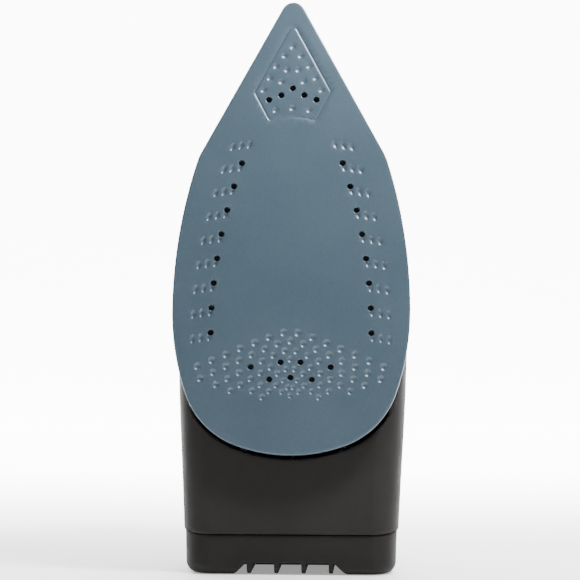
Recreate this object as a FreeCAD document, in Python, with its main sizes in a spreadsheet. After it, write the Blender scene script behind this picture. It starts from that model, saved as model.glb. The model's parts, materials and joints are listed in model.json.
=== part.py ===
"""Cordless steam iron, standing on its heel.

Every piece is drawn in the ironing frame, in millimetres: x runs forward from the rear end of the
soleplate to the nose, y to the left, and z up from the working face of the soleplate to the handle.
stand_up() then turns the piece into the row frame: heel on the floor, nose up, working face towards
-Y, leaning back by the lean angle. Pieces of the heel, whose faces are level with the floor, are
drawn standing and laid down with LIE first: x to the right, y back from the soleplate's rear end and
z up from the floor.
"""

import FreeCAD, Part
import math
import os
import re

from FreeCAD import Placement, Rotation, Vector

doc = FreeCAD.newDocument("steam_iron")
dims = doc.addObject("Spreadsheet::Sheet", "Dims")

# Driving dimensions: alias, value, what it is. Lengths in millimetres, angles in degrees.
DIMENSIONS = [
    ("lean", 8.0, "lean of the soleplate from upright when the iron stands on its heel"),
    ("heel_reach", 60.0, "how far the heel stands behind the soleplate, at the housing's underside"),
    ("under", 10.0, "height of the housing's underside above the working face"),
    ("crown", 74.0, "height of the body's top above the working face"),
    ("middle", 83.0, "depth of the row's origin behind the soleplate's rear end"),
    ("seam_height", 19.8, "height above the floor of the seam between housing and heel cap, in front"),
    ("seam_rise", 8.0, "slope of that seam, rising to the back"),
    # soleplate outline
    ("plate_length", 240.0, "soleplate, rear end to nose tip"),
    ("plate_half", 61.8, "half of the soleplate's greatest width"),
    ("waist", 76.3, "station of the greatest width"),
    ("nose_half_angle", 28.65, "half of the nose's included angle"),
    ("tip_radius", 6.4, "radius of the nose tip"),
    ("shoulder_radius", 30.8, "radius where the nose meets the side"),
    ("side_radius", 262.0, "radius of the side ahead of the waist"),
    ("flank_radius", 130.7, "radius of the side behind the waist"),
    ("flank_turn", 19.8, "how far the flank turns before the corner"),
    ("corner_radius", 43.4, "radius of the rear corner"),
    ("tail_radius", 82.3, "radius of the rear end"),
    ("plate_thick", 2.5, "soleplate thickness"),
    ("plate_bevel", 0.6, "bevel of the working face's rim"),
    ("hole_radius", 1.55, "radius of a steam hole"),
    # casting and steam chamber
    ("casting_inset", 7.0, "casting's edge inside the soleplate's"),
    ("casting_top", 17.0, "top face of the casting"),
    ("channel_inset", 12.0, "steam channel's edge inside the soleplate's"),
    ("channel_depth", 1.5, "depth of the steam channel in the casting's underside"),
    ("chamber_floor", 8.0, "floor of the steam chamber"),
    ("gasket_thick", 0.8, "chamber gasket"),
    ("lid_thick", 1.5, "chamber lid"),
    ("lid_rim", 6.5, "how far the lid and gasket overlap the casting"),
    ("element_radius", 3.5, "tubular heating element"),
    # skirt
    ("skirt_inset", 2.0, "skirt's face inside the soleplate's edge"),
    ("skirt_wall", 3.0, "thickness of the skirt wall"),
    ("skirt_bottom", 3.5, "lower edge of the skirt"),
    ("deck_top", 25.0, "top of the skirt's deck"),
    ("deck_thick", 2.0, "thickness of the skirt's deck"),
    # shells
    ("wall", 2.4, "wall of the housings and the tank"),
    ("joint_x", 62.0, "station where the rear housing meets the tank"),
    ("tank_bottom", 25.4, "underside of the tank"),
    ("tank_seam", 42.0, "level of the weld between the tank's halves"),
    ("play", 0.4, "gap between neighbouring shells"),
    ("handle_wall", 2.6, "wall of the handle"),
    # temperature dial
    ("dial_x", 38.0, "station of the temperature dial"),
    ("dial_radius", 22.0, "temperature dial"),
    ("dial_height", 8.4, "height of the temperature dial"),
    ("dial_seat", 70.2, "level of the recess that the dial lies in"),
    ("spindle_radius", 3.0, "thermostat spindle"),
    # buttons and pumps
    ("button_x", 140.0, "station of the two push buttons"),
    ("button_y", 10.0, "how far each button stands off the centreline"),
    ("button_radius", 7.2, "push button"),
    ("button_bottom", 133.0, "underside of a button's cap"),
    ("button_top", 147.0, "top of a button's cap"),
    ("lens_x", 124.5, "station of the indicator lens"),
    ("pump_bottom", 96.0, "underside of a pump"),
    ("pump_top", 126.0, "top of a pump"),
    ("pump_radius", 7.6, "outside of a pump"),
    ("piston_radius", 5.0, "pump piston"),
    ("run", 0.05, "running clearance of pistons, spindles, hubs and rods"),
    ("nozzle_x", 170.0, "station of the spray nozzle's inner end"),
    ("nozzle_z", 92.0, "height of the spray nozzle"),
    ("pipe_radius", 2.0, "water pipe"),
    ("burst_x", 126.0, "station of the pipe that feeds the steam burst"),
    # steam valve
    ("valve_x", 160.0, "station of the steam valve and its lever"),
    ("lever_bottom", 118.0, "underside of the steam lever's arm"),
    ("lever_thick", 3.0, "thickness of the steam lever's arm"),
    ("lever_reach", 25.5, "reach of the steam lever to the middle of its thumb pad"),
    ("lever_rest", -22.0, "angle of the steam lever from the centreline, valve shut"),
    ("hub_radius", 5.0, "hub of the steam lever"),
    ("rod_radius", 1.5, "valve rod"),
    # filler
    ("filler_x", 200.0, "station of the filler's middle"),
    ("filler_level", 68.2, "height of the filler frame's face at its middle"),
    ("filler_tilt", 22.0, "slope of the filler frame's face"),
    ("pin_radius", 0.8, "filler door's hinge pin"),
    # heel
    ("notch_half", 22.8, "half width of the heel notch at its ceiling"),
    ("notch_flare", 5.9, "how far the notch's sides flare to the floor"),
    ("notch_height", 6.0, "height of the notch's ceiling above the floor"),
    ("notch_depth", 48.0, "how far the notch runs back"),
    ("rib_pitch", 14.1, "spacing of the four ribs in the notch"),
    ("rib_thick", 2.2, "thickness of a rib"),
    ("cap_inset", 0.8, "heel cap's face inside the rear housing's"),
    ("cap_round", 6.0, "rounding of the heel cap's lower edge"),
    ("cap_floor", 3.0, "thickness of the heel cap's end wall"),
    ("contact_y", 20.5, "front edge of the contact slots, behind the soleplate's rear end"),
    ("contact_gap", 6.4, "width of a contact slot"),
]
for row, (alias, value, meaning) in enumerate(DIMENSIONS, 1):
    dims.set(f"A{row}", meaning)
    dims.set(f"B{row}", str(value))
    dims.setAlias(f"B{row}", alias)
doc.recompute()
ALIASES = {alias for alias, _, _ in DIMENSIONS}


class Sizes:
    """D.alias reads a cell of the sheet."""

    def __getattr__(self, alias):
        return float(dims.get(alias))


D = Sizes()
SUBPARTS = []
LEAN = math.radians(D.lean)
LIFT = (D.heel_reach + D.under * math.tan(LEAN)) * math.cos(LEAN)


# ---------------------------------------------------------------------------------------------------- frames


def stand_up():
    """Ironing frame to standing frame: x to up and back, y to +X, z to +Y and down, heel on the floor."""
    turn = Rotation(
        Vector(0, math.sin(LEAN), math.cos(LEAN)),
        Vector(1, 0, 0),
        Vector(0, math.cos(LEAN), -math.sin(LEAN)),
        "ZXY",
    )
    return Placement(Vector(0, 0, LIFT), turn)


STAND = stand_up()
LIE = STAND.inverse()
SIDE_VIEW = Placement(Vector(), Rotation(Vector(1, 0, 0), Vector(0, 0, 1), Vector(0, -1, 0), "ZXY"))
END_TURN = Rotation(Vector(0, 1, 0), Vector(0, 0, 1), Vector(1, 0, 0), "ZXY")
FRONT_TURN = Rotation(Vector(1, 0, 0), Vector(0, 0, 1), Vector(0, -1, 0), "ZXY")


def finish(label, obj):
    """Names a finished sub-part and stands it up in the row frame, over the middle of its footprint."""
    if obj.ExpressionEngine:
        obj = group(obj)
    obj.Label = label
    centre = Placement(Vector(0, -D.middle, 0), Rotation())
    obj.Placement = centre.multiply(STAND).multiply(obj.Placement)
    SUBPARTS.append(obj)
    return obj


# ------------------------------------------------------------------------------------------- drawing helpers


def bind(obj, prop, size):
    """Sets a property to a number, or binds it to an expression in the sheet's aliases."""
    if isinstance(size, str):
        words = re.sub(r"[a-z][a-z_]+", lambda m: "Dims." + m[0] if m[0] in ALIASES else m[0], size)
        obj.setExpression(prop, words)
    elif "." in prop:
        obj.setExpression(prop, str(size))
    else:
        setattr(obj, prop, size)


def place(obj, base, axis=None):
    """Puts obj at base, each coordinate a number or an expression, with its z along axis."""
    if axis:
        obj.Placement = Placement(Vector(), Rotation(Vector(0, 0, 1), Vector(*axis)))
    for letter, size in zip("xyz", base):
        if isinstance(size, str):
            bind(obj, "Placement.Base." + letter, size)
    numbers = [0 if isinstance(size, str) else size for size in base]
    obj.Placement = Placement(Vector(*numbers), obj.Placement.Rotation)
    return obj


def box(low, high, where=None):
    """A box from its lowest to its highest corner, in the frame given by where."""
    made = doc.addObject("Part::Box", "block")
    made.Length, made.Width, made.Height = (b - a for a, b in zip(low, high))
    made.Placement = (where or Placement()).multiply(Placement(Vector(*low), Rotation()))
    return made


def cylinder(radius, height, base, axis=None):
    made = doc.addObject("Part::Cylinder", "round")
    bind(made, "Radius", radius)
    bind(made, "Height", height)
    return place(made, base, axis)


def cone(radius_low, radius_high, height, base, axis=None):
    made = doc.addObject("Part::Cone", "taper")
    bind(made, "Radius1", radius_low)
    bind(made, "Radius2", radius_high)
    bind(made, "Height", height)
    return place(made, base, axis)


def post(radius, x, y, low, high):
    """An upright cylinder of the heel, drawn standing and laid down."""
    made = cylinder(radius, high - low, (0, 0, 0))
    made.Placement = LIE.multiply(Placement(Vector(x, y, low), Rotation()))
    return made


def fuse(*shapes):
    made = doc.addObject("Part::MultiFuse", "fuse")
    made.Shapes = list(shapes)
    return made


def cut(base, *tools):
    made = doc.addObject("Part::Cut", "cut")
    made.Base = base
    made.Tool = tools[0] if len(tools) == 1 else fuse(*tools)
    return made


def common(*shapes):
    made = doc.addObject("Part::MultiCommon", "common")
    made.Shapes = list(shapes)
    return made


def group(*shapes):
    """Separate solids that share a node."""
    made = doc.addObject("Part::Compound", "group")
    made.Links = list(shapes)
    return made


def solid(shape):
    made = doc.addObject("Part::Feature", "solid")
    made.Shape = shape
    return made


def rounded_polygon(corners):
    """Lines and tangent arcs round a closed polygon; corners are (x, y, radius), in order."""
    count = len(corners)
    ends = []
    for i, (x, y, radius) in enumerate(corners):
        here = Vector(x, y, 0)
        back = (Vector(*corners[i - 1][:2], 0) - here).normalize()
        ahead = (Vector(*corners[(i + 1) % count][:2], 0) - here).normalize()
        half = back.getAngle(ahead) / 2
        reach = radius / math.tan(half)
        middle = here + (back + ahead).normalize() * (radius / math.sin(half) - radius)
        ends.append((here + back * reach, middle, here + ahead * reach))
    edges = []
    for i, (start, middle, end) in enumerate(ends):
        edges.append(Part.Arc(start, middle, end))
        edges.append(Part.LineSegment(end, ends[(i + 1) % count][0]))
    return edges


def mirrored(corners):
    """The corners of one side of a shape that is symmetric about its x axis, with their mirror images."""
    return list(corners) + [(x, -y, radius) for x, y, radius in reversed(corners) if y]


def sketch(where, geometry):
    made = doc.addObject("Sketcher::SketchObject", "section")
    made.Placement = where
    made.addGeometry(geometry, False)
    return made


def plate(geometry, bottom, height, grow=0.0):
    """A level outline, moved outwards by grow, extruded up from bottom by height."""
    base = sketch(Placement(), geometry)
    if grow:
        base = offset(base, grow)
    made = extrude(base, height)
    return place(made, (0, 0, bottom))


def offset(base, grow):
    made = doc.addObject("Part::Offset2D", "offset")
    made.Source = base
    bind(made, "Value", grow)
    return made


def extrude(base, forward, backward=0):
    made = doc.addObject("Part::Extrusion", "extrusion")
    made.Base = base
    made.DirMode = "Normal"
    bind(made, "LengthFwd", forward)
    bind(made, "LengthRev", backward)
    made.Solid = True
    return made


def side_slab(corners, half_width, grow=0.0):
    """A side-view outline, drawn in x and z, extruded to both sides of the centre plane."""
    base = sketch(SIDE_VIEW, rounded_polygon(corners))
    if grow:
        base = offset(base, grow)
    return extrude(base, half_width, half_width)


def loft(sections):
    made = doc.addObject("Part::Loft", "loft")
    made.Sections = sections
    made.Solid = True
    made.Ruled = False
    return made


def body(label, geometry, bottom, height):
    """A PartDesign body with one pad: an outline sketched on its XY plane, raised to bottom."""
    made = doc.addObject("PartDesign::Body", label + "_body")
    plane = next(f for f in made.Origin.OriginFeatures if f.Role == "XY_Plane")
    face = made.newObject("Sketcher::SketchObject", label + "_outline")
    face.AttachmentSupport = (plane, [""])
    face.MapMode = "FlatFace"
    bind(face, "AttachmentOffset.Base.z", bottom)
    face.addGeometry(geometry, False)
    pad = made.newObject("PartDesign::Pad", label + "_pad")
    pad.Profile = face
    bind(pad, "Length", height)
    made.Tip = pad
    return made


def tube(points, bend, radius):
    """A round tube along straight runs joined by tangent arcs of radius bend."""
    corners = [Vector(*p) for p in points]
    edges = []
    start = corners[0]
    for before, here, after in zip(corners, corners[1:], corners[2:]):
        back = (before - here).normalize()
        ahead = (after - here).normalize()
        half = back.getAngle(ahead) / 2
        reach = bend / math.tan(half)
        middle = here + (back + ahead).normalize() * (bend / math.sin(half) - bend)
        first = here + back * reach
        last = here + ahead * reach
        edges.append(Part.LineSegment(start, first).toShape())
        edges.append(Part.Arc(first, middle, last).toShape())
        start = last
    edges.append(Part.LineSegment(start, corners[-1]).toShape())
    ring = Part.Wire([Part.Circle(corners[0], corners[1] - corners[0], radius).toShape()])
    return solid(Part.Wire(edges).makePipeShell([ring], True, False))


def screw(x, y, low, high, head_radius, head_height, shank_radius, flip=False):
    """A screw from low to high, its head at the low end, or at the high end if flipped."""
    head_at = high - head_height if flip else low
    return fuse(
        cylinder(head_radius, head_height, (x, y, head_at)),
        cylinder(shank_radius, high - low, (x, y, low)),
    )


def edges_of(obj):
    doc.recompute()
    return obj.Shape.Edges


def round_rim(obj, level, radius):
    """Rounds the edges of an upright solid that lie at the given level."""
    made = doc.addObject("Part::Fillet", "fillet")
    made.Base = obj
    made.Edges = [
        (i, radius, radius)
        for i, edge in enumerate(edges_of(obj), 1)
        if all(abs(v.Z - level) < 1e-4 for v in edge.Vertexes)
    ]
    return made


# ------------------------------------------------------------------------------------------ soleplate outline


def outline(inset=0.0, blunt=0.0):
    """The soleplate's outline, moved inwards by inset: a blunted nose, two sides of arcs and a rounded rear.

    The arcs keep their centres and lose the inset from their radii; blunt is the least radius of the nose.
    """
    gamma = math.radians(D.nose_half_angle)
    normal = Vector(math.sin(gamma), math.cos(gamma), 0)
    tip = Vector(D.plate_length - D.tip_radius, 0, 0)
    side = Vector(D.waist, D.plate_half - D.side_radius, 0)
    flank = Vector(D.waist, D.plate_half - D.flank_radius, 0)
    turn = math.radians(D.flank_turn)
    leave = Vector(-math.sin(turn), math.cos(turn), 0)
    corner = flank + leave * (D.flank_radius - D.corner_radius)
    beta = math.asin(corner.y / (D.tail_radius - D.corner_radius))
    arrive = Vector(-math.cos(beta), math.sin(beta), 0)
    tail = corner - arrive * (D.tail_radius - D.corner_radius)

    # The shoulder's arc touches the nose line, and the side's arc from inside.
    on_line = tip + normal * (D.tip_radius - D.shoulder_radius)
    along = Vector(-math.cos(gamma), math.sin(gamma), 0)
    gap = on_line - side
    b, c = gap.dot(along), gap.dot(gap) - (D.side_radius - D.shoulder_radius) ** 2
    shoulder = on_line + along * (-b + math.sqrt(b * b - c))
    to_side = (shoulder - side).normalize()

    tip_round = max(D.tip_radius - inset, blunt)
    tip_back = (tip_round - (D.tip_radius - inset)) / math.sin(gamma)
    tip = tip - Vector(tip_back, 0, 0)

    left = [
        tip + normal * tip_round,
        shoulder + normal * (D.shoulder_radius - inset),
        side + to_side * (D.side_radius - inset),
        Vector(D.waist, D.plate_half - inset, 0),
        corner + leave * (D.corner_radius - inset),
        tail + arrive * (D.tail_radius - inset),
    ]
    half_way = [
        None,
        shoulder + (normal + to_side).normalize() * (D.shoulder_radius - inset),
        side + (to_side + Vector(0, 1, 0)).normalize() * (D.side_radius - inset),
        flank + (leave + Vector(0, 1, 0)).normalize() * (D.flank_radius - inset),
        corner + (leave + arrive).normalize() * (D.corner_radius - inset),
    ]

    def across(p):
        return Vector(p.x, -p.y, 0)

    edges = [Part.LineSegment(left[0], left[1])]
    for i in range(1, 5):
        edges.append(Part.Arc(left[i], half_way[i], left[i + 1]))
    edges.append(Part.Arc(left[5], tail - Vector(D.tail_radius - inset, 0, 0), across(left[5])))
    for i in range(4, 0, -1):
        edges.append(Part.Arc(across(left[i + 1]), across(half_way[i]), across(left[i])))
    edges.append(Part.LineSegment(across(left[1]), across(left[0])))
    edges.append(Part.Arc(across(left[0]), tip + Vector(tip_round, 0, 0), left[0]))
    return edges


# --------------------------------------------------------------------------------------------- soleplate face

SIDE_ROWS = 9
SIDE_PITCH = 13.0
SIDE_FIRST = 22.1
SIDE_ARC = (64.3, 41.6, 270.0)
FAN_ROWS = ((7, 14), (8, 15), (7, 14), (7, 13), (5, 10), (5, 9), (2, 4), (1, 1))
FAN_TOP = 64.9
FAN_STEP = 4.73
FAN_HOLES = ((2, 3.5), (3, 1.0), (4, 2.5), (5, 0.0))
NOSE_HOLES = ((0.0, 193.7), (6.05, 190.0), (12.4, 187.5))
NOSE_DIMPLES = (
    (0.0, 216.1), (4.2, 211.2), (8.7, 205.6), (12.0, 199.2), (15.2, 192.8),
    (3.0, 203.6), (5.8, 197.3), (0.0, 183.1), (8.8, 182.0),
)


def both_sides(points):
    """The points with y and -y, those on the centreline once."""
    return [(x, y * s) for y, x in points for s in ((1, -1) if y else (1,))]


def side_row(row):
    """Where the inner end of a side row lies: x, y. SIDE_ARC is its widest station, reach and radius."""
    widest, reach, radius = SIDE_ARC
    angle = math.radians(SIDE_FIRST) - row * SIDE_PITCH / radius
    return widest + radius * math.sin(angle), reach - radius * (1 - math.cos(angle))


def fan_point(row, index):
    """A point of the rear fan: rows of chevrons whose pitch narrows towards the rear end: y, x."""
    pitch = 7.4 - 0.75 * row
    drop = math.hypot(3.16 * index, 2.6) - 2.6
    return pitch * index, FAN_TOP - FAN_STEP * row - drop


def fan_dimples():
    """Places and radii of the fan's dimples, leaving out those where a steam hole stands: x, y, radius."""
    made = []
    for row, (_, count) in enumerate(FAN_ROWS):
        for i in range(count):
            index = i - (count - 1) / 2
            if (row, abs(index)) in FAN_HOLES:
                continue
            y, x = fan_point(row, index)
            size = 2.1 - 0.09 * row
            made.append((x, math.copysign(abs(y), index), size))
    return made


def hole_places():
    """Centres of the steam holes: five in the nose, eight down each side, seven in the fan."""
    places = both_sides(NOSE_HOLES)
    for row in range(1, SIDE_ROWS):
        x, y = side_row(row)
        places += [(x, y), (x, -y)]
    places += both_sides([fan_point(row, index) for row, index in FAN_HOLES])
    return places


def ball(x, y, radius, depth):
    """A ball that cuts a dimple of the given radius and depth into the working face."""
    size = (radius * radius + depth * depth) / (2 * depth)
    return Part.makeSphere(size, Vector(x, y, depth - size))


def slot_tool(x, y, radius, depth, length, slant):
    """A lying capsule that cuts a long dimple, from (x, y) towards the rear and outwards."""
    size = (radius * radius + depth * depth) / (2 * depth)
    start = Vector(x, y, depth - size)
    ahead = Vector(-math.cos(slant), math.sin(slant) * math.copysign(1, y), 0)
    bar = Part.makeCylinder(size, length, start, ahead)
    return bar.fuse([Part.makeSphere(size, start), Part.makeSphere(size, start + ahead * length)])


def make_soleplate():
    made = body("soleplate", outline(), 0.0, "plate_thick")
    doc.recompute()
    pad = made.Tip
    rim = [
        f"Edge{i}"
        for i, e in enumerate(pad.Shape.Edges, 1)
        if all(abs(v.Z) < 1e-6 for v in e.Vertexes)
    ]
    bevel = made.newObject("PartDesign::Chamfer", "working_rim")
    bevel.Base = (pad, rim)
    bind(bevel, "Size", "plate_bevel")
    made.Tip = bevel

    holes = [cylinder("hole_radius", "plate_thick + 2", (x, y, -1)) for x, y in hole_places()]
    dimples = [ball(x, y, 1.65, 0.45) for x, y in both_sides(NOSE_DIMPLES)]
    dimples += [ball(x, y, size, 0.5) for x, y, size in fan_dimples()]
    for row in range(SIDE_ROWS):
        x, y = side_row(row)
        for out, back in ((0.5, 1.0), (6.0, 1.6), (10.3, 2.5)):
            for side in (1, -1):
                dimples.append(slot_tool(x - back, side * (y + out), 1.1, 0.4, 2.4, math.radians(12)))
    groove = nose_groove()
    return finish("soleplate", cut(made, group(*holes), solid(Part.makeCompound(dimples)), groove))


KITE = ((228.6, 0.0, 2.0), (191.5, 19.9, 1.5), (176.6, 12.2, 1.0), (176.6, -12.2, 1.0), (191.5, -19.9, 1.5))


def nose_groove():
    """The shallow line engraved round the nose's holes: the ring between two kites."""
    width, depth = 0.9, 0.35
    rings = []
    for grow in (width / 2, -width / 2):
        shape = Part.Face(Part.Wire([g.toShape() for g in rounded_polygon(KITE)]))
        rings.append(shape.makeOffset2D(grow))
    ring = rings[0].cut(rings[1])
    ring.translate(Vector(0, 0, -1))
    return solid(ring.extrude(Vector(0, 0, 1 + depth)))


make_soleplate()


# ------------------------------------------------------------------------------------------- heat and steam

CHAMBER = mirrored(((182, 0, 6), (120, 27, 20), (56, 30, 10)))
ISLAND = mirrored(((160, 20, 8), (75, 22, 8)))
ELEMENT_ROUTE = ((20, 33, 30), (20, 33, 9.5), (76, 42.5, 9.5), (135, 36.5, 9.5), (203, 0, 9.5))
LID_SCREWS = both_sides(((0.0, 185.3), (30.5, 106.0), (33.3, 70.0), (10.0, 52.7)))
SKIRT_POSTS = both_sides(((0.0, 206.0), (51.0, 76.0), (22.0, 10.0 + 6.0)))
THERMOSTAT_WINDOW = ((18, -18, 20), (58, 18, 30))


def element_tube(radius):
    """The heating element: a hairpin cast in round the chamber, its two ends turned up behind."""
    there = list(ELEMENT_ROUTE)
    back = [(x, -y, z) for x, y, z in reversed(there[:-1])]
    return tube(there + back, 9.0, radius)


def make_heat_pieces():
    post_height = "deck_top - deck_thick - casting_top"
    casting = fuse(
        body("heater_casting", outline(D.casting_inset, 3.0), "plate_thick", "casting_top - plate_thick"),
        *[cylinder(4.5, post_height, (x, y, "casting_top")) for x, y in SKIRT_POSTS],
    )
    channel = cut(
        plate(outline(D.channel_inset, 4.0), "plate_thick", "channel_depth"),
        plate(rounded_polygon(ISLAND), "plate_thick", "channel_depth"),
    )
    chamber = plate(rounded_polygon(CHAMBER), "chamber_floor", "casting_top - chamber_floor")
    ports = [cylinder(2.5, 8, (x, y, "plate_thick + 1")) for x, y in both_sides(((0.0, 66.0), (24.5, 100.0)))]
    pilots = [cylinder(1.5, 8, (x, y, "casting_top - 7")) for x, y in LID_SCREWS]
    pilots += [cylinder(1.5, 9, (x, y, 15)) for x, y in SKIRT_POSTS]
    element = element_tube(D.element_radius)
    finish("heater_casting", cut(casting, channel, chamber, element, *ports, *pilots))
    finish("heating_element", solid(element.Shape))

    rim = plate(rounded_polygon(CHAMBER), "casting_top", "gasket_thick", "lid_rim")
    mouth = plate(rounded_polygon(CHAMBER), "casting_top - 1", "gasket_thick + 2")
    shanks = [cylinder(1.6, 8, (x, y, "casting_top - 2")) for x, y in LID_SCREWS]
    finish("chamber_gasket", cut(rim, mouth, *shanks))
    lid = plate(rounded_polygon(CHAMBER), "casting_top + gasket_thick", "lid_thick", "lid_rim")
    drip = cylinder(2.0, 8, ("valve_x", 0, "casting_top - 2"))
    inlet = cylinder("pipe_radius", 8, ("burst_x", -D.button_y, "casting_top - 2"))
    finish("chamber_lid", cut(lid, drip, inlet, *shanks))
    lid_top = D.casting_top + D.gasket_thick + D.lid_thick
    heads = [screw(x, y, lid_top - 8, lid_top + 2, 2.8, 2, 1.5, True) for x, y in LID_SCREWS]
    finish("lid_screws", group(*heads))

    outer = plate(outline(D.skirt_inset), "skirt_bottom", "deck_top - skirt_bottom")
    under_deck = plate(
        outline(D.skirt_inset + D.skirt_wall, 3.0), 0, "deck_top - deck_thick"
    )
    ends = [cylinder(5.0, 10, (20, s * 33, 20)) for s in (1, -1)]
    valve = cylinder(4.6, 10, ("valve_x", 0, 20))
    burst = cylinder(3.0, 10, ("burst_x", -D.button_y, 20))
    fixings = [cylinder(1.7, 10, (x, y, 20)) for x, y in SKIRT_POSTS]
    sinks = [cylinder(3.4, 2, (x, y, "deck_top - 1")) for x, y in SKIRT_POSTS]
    openings = [box(*THERMOSTAT_WINDOW), valve, burst] + ends + fixings + sinks
    finish("heat_skirt", cut(outer, under_deck, *openings))
    heads = [screw(x, y, 16, D.deck_top + 0.2, 3.0, 1.2, 1.5, True) for x, y in SKIRT_POSTS]
    finish("skirt_screws", group(*heads))


def make_thermostat():
    base = box((24, -9, D.casting_top), (48, 9, 22))
    tab = box((19, -3, 20), (24, 3, 21))
    cup = cylinder(7.0, 8.0, ("dial_x", 0, 22))
    bore = cylinder("spindle_radius + run", 8.0, ("dial_x", 0, 24))
    finish("thermostat", cut(fuse(base, tab, cup), bore))
    finish("thermal_fuse", fuse(
        cylinder(3.0, 22.0, (60, 40, 20.0), (1, 0, 0)),
        cylinder(0.8, 34.0, (54, 40, 20.0), (1, 0, 0)),
        box((58, 38, D.casting_top), (62, 42, 19)),
        box((80, 38, D.casting_top), (84, 42, 19)),
    ))

    dial = cylinder("dial_radius", "dial_height", ("dial_x", 0, "dial_seat + play"))
    dial = round_rim(dial, D.dial_seat + D.play + D.dial_height, 1.2)
    grips = []
    for step in range(24):
        angle = math.radians(step * 15 + 7.5)
        x = D.dial_x + (D.dial_radius + 0.6) * math.cos(angle)
        grips.append(cylinder(1.3, 12, (x, (D.dial_radius + 0.6) * math.sin(angle), "dial_seat")))
    socket = cylinder("spindle_radius", 5.4, ("dial_x", 0, "dial_seat"))
    finish("temperature_dial", cut(dial, socket, *grips))
    finish("thermostat_spindle", cylinder(
        "spindle_radius", "dial_seat + 5.4 - 24.2", ("dial_x", 0, 24.2)
    ))


make_heat_pieces()
make_thermostat()


# ------------------------------------------------------------------------------------------------------ body

# Level sections of the tank: height, inset from the soleplate's outline, nose radius.
TANK_SECTIONS = (
    (25.4, 3.4, 4.0), (38.0, 1.8, 9.0), (50.0, 1.8, 15.0),
    (61.0, 4.8, 20.0), (69.0, 11.8, 24.0), (74.0, 24.5, 28.0),
)
# Upright sections of the housing: station, half width.
HOUSING_SECTIONS = ((70.0, 60.2), (40.0, 59.6), (0.0, 57.7), (-40.0, 55.7), (-80.0, 55.3))
HOUSING_FOOT = 15.0
HOUSING_SHOULDER = 26.0


def tank_outline(inset, nose):
    """A level section of the tank: a rounded nose, rounded shoulders and a square rear end.

    The nose lines run parallel to the soleplate's, inset from them, and nose is the radius where they meet.
    """
    gamma = math.radians(D.nose_half_angle)
    apex = D.plate_length - D.tip_radius + (D.tip_radius - inset) / math.sin(gamma)
    half = D.plate_half - inset
    shoulder = (apex - (half - 2.5) / math.tan(gamma), half - 2.5, 130.0 - 3.4 * inset)
    return rounded_polygon(mirrored(((apex, 0, nose), shoulder, (20.0, half - 0.7, 3.0))))


def tank_form(shrink):
    """The tank's outside, or its inside when shrink is the wall."""
    sections = []
    for height, inset, nose in TANK_SECTIONS:
        level = min(max(height, D.tank_bottom + shrink), D.crown - shrink)
        if sections and level <= sections[-1].Placement.Base.z:
            continue
        where = Placement(Vector(0, 0, level), Rotation())
        sections.append(sketch(where, tank_outline(inset + shrink, max(nose - shrink, 2.5))))
    return common(loft(sections), box((D.joint_x + D.play + shrink, -80, 0), (260, 80, 100)))


def housing_form(shrink):
    """The rear housing's outside, running on past the heel, or a smaller one inside it."""
    sections = []
    for station, half in HOUSING_SECTIONS:
        wide = half - shrink
        low = D.under + shrink
        high = D.crown - shrink
        foot = HOUSING_FOOT - shrink
        shoulder = HOUSING_SHOULDER - shrink
        corners = ((wide, low, foot), (wide, high, shoulder), (-wide, high, shoulder), (-wide, low, foot))
        sections.append(sketch(Placement(Vector(station, 0, 0), END_TURN), rounded_polygon(corners)))
    return loft(sections)


TANK = tank_form(0.0)
TANK_INSIDE = tank_form(D.wall)
HOUSING = housing_form(0.0)
HOUSING_INSIDE = housing_form(D.wall)
FILLER = Placement(Vector(D.filler_x, 0, D.filler_level), Rotation(Vector(0, 1, 0), D.filler_tilt))
FRAME_CORNERS = mirrored(((14.0, 11.0, 3.0), (-15.0, 11.0, 3.0)))
DOOR_CORNERS = mirrored(((7.2, 7.6, 1.5), (-12.0, 7.6, 4.0)))
HINGE_AT = (9.6, -1.6)


def on_filler(obj):
    """Lays a piece drawn level, with its face at zero, on the filler frame's slope."""
    obj.Placement = FILLER.multiply(obj.Placement)
    return obj


def make_tank():
    below = box((50, -80, 0), (260, 80, D.tank_seam))
    above = box((50, -80, D.tank_seam), (260, 80, 100))
    shell = cut(TANK, TANK_INSIDE)
    drain = cylinder(4.0, 10, ("valve_x", 0, 22))
    burst_low = cylinder("pipe_radius", 10, ("burst_x", -D.button_y, 22))
    finish("tank_base", cut(common(shell, below), drain, burst_low))
    pipes = [cylinder("pipe_radius", 10, ("button_x", s * D.button_y, 68)) for s in (1, -1)]
    burst_high = cylinder("pipe_radius", 10, ("burst_x", -D.button_y, 68))
    rod = cylinder(4.0, 10, ("valve_x", 0, 68))
    opening = on_filler(plate(rounded_polygon(FRAME_CORNERS), -20, 30))
    finish("tank_top", cut(common(shell, above), rod, burst_high, opening, *pipes))

    seat = fuse(
        cylinder(4.0, 10, ("valve_x", 0, "casting_top + gasket_thick + lid_thick")),
        cylinder(6.0, 1.6, ("valve_x", 0, "tank_bottom + wall")),
    )
    finish("valve_seat", cut(seat, cylinder("rod_radius + run", 12, ("valve_x", 0, 18))))
    seal = fuse(
        cylinder(4.0, "wall", ("valve_x", 0, "crown - wall")),
        cylinder(6.0, 1.6, ("valve_x", 0, "crown")),
    )
    finish("rod_seal", cut(seal, cylinder("rod_radius + run", 8, ("valve_x", 0, 70))))


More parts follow.
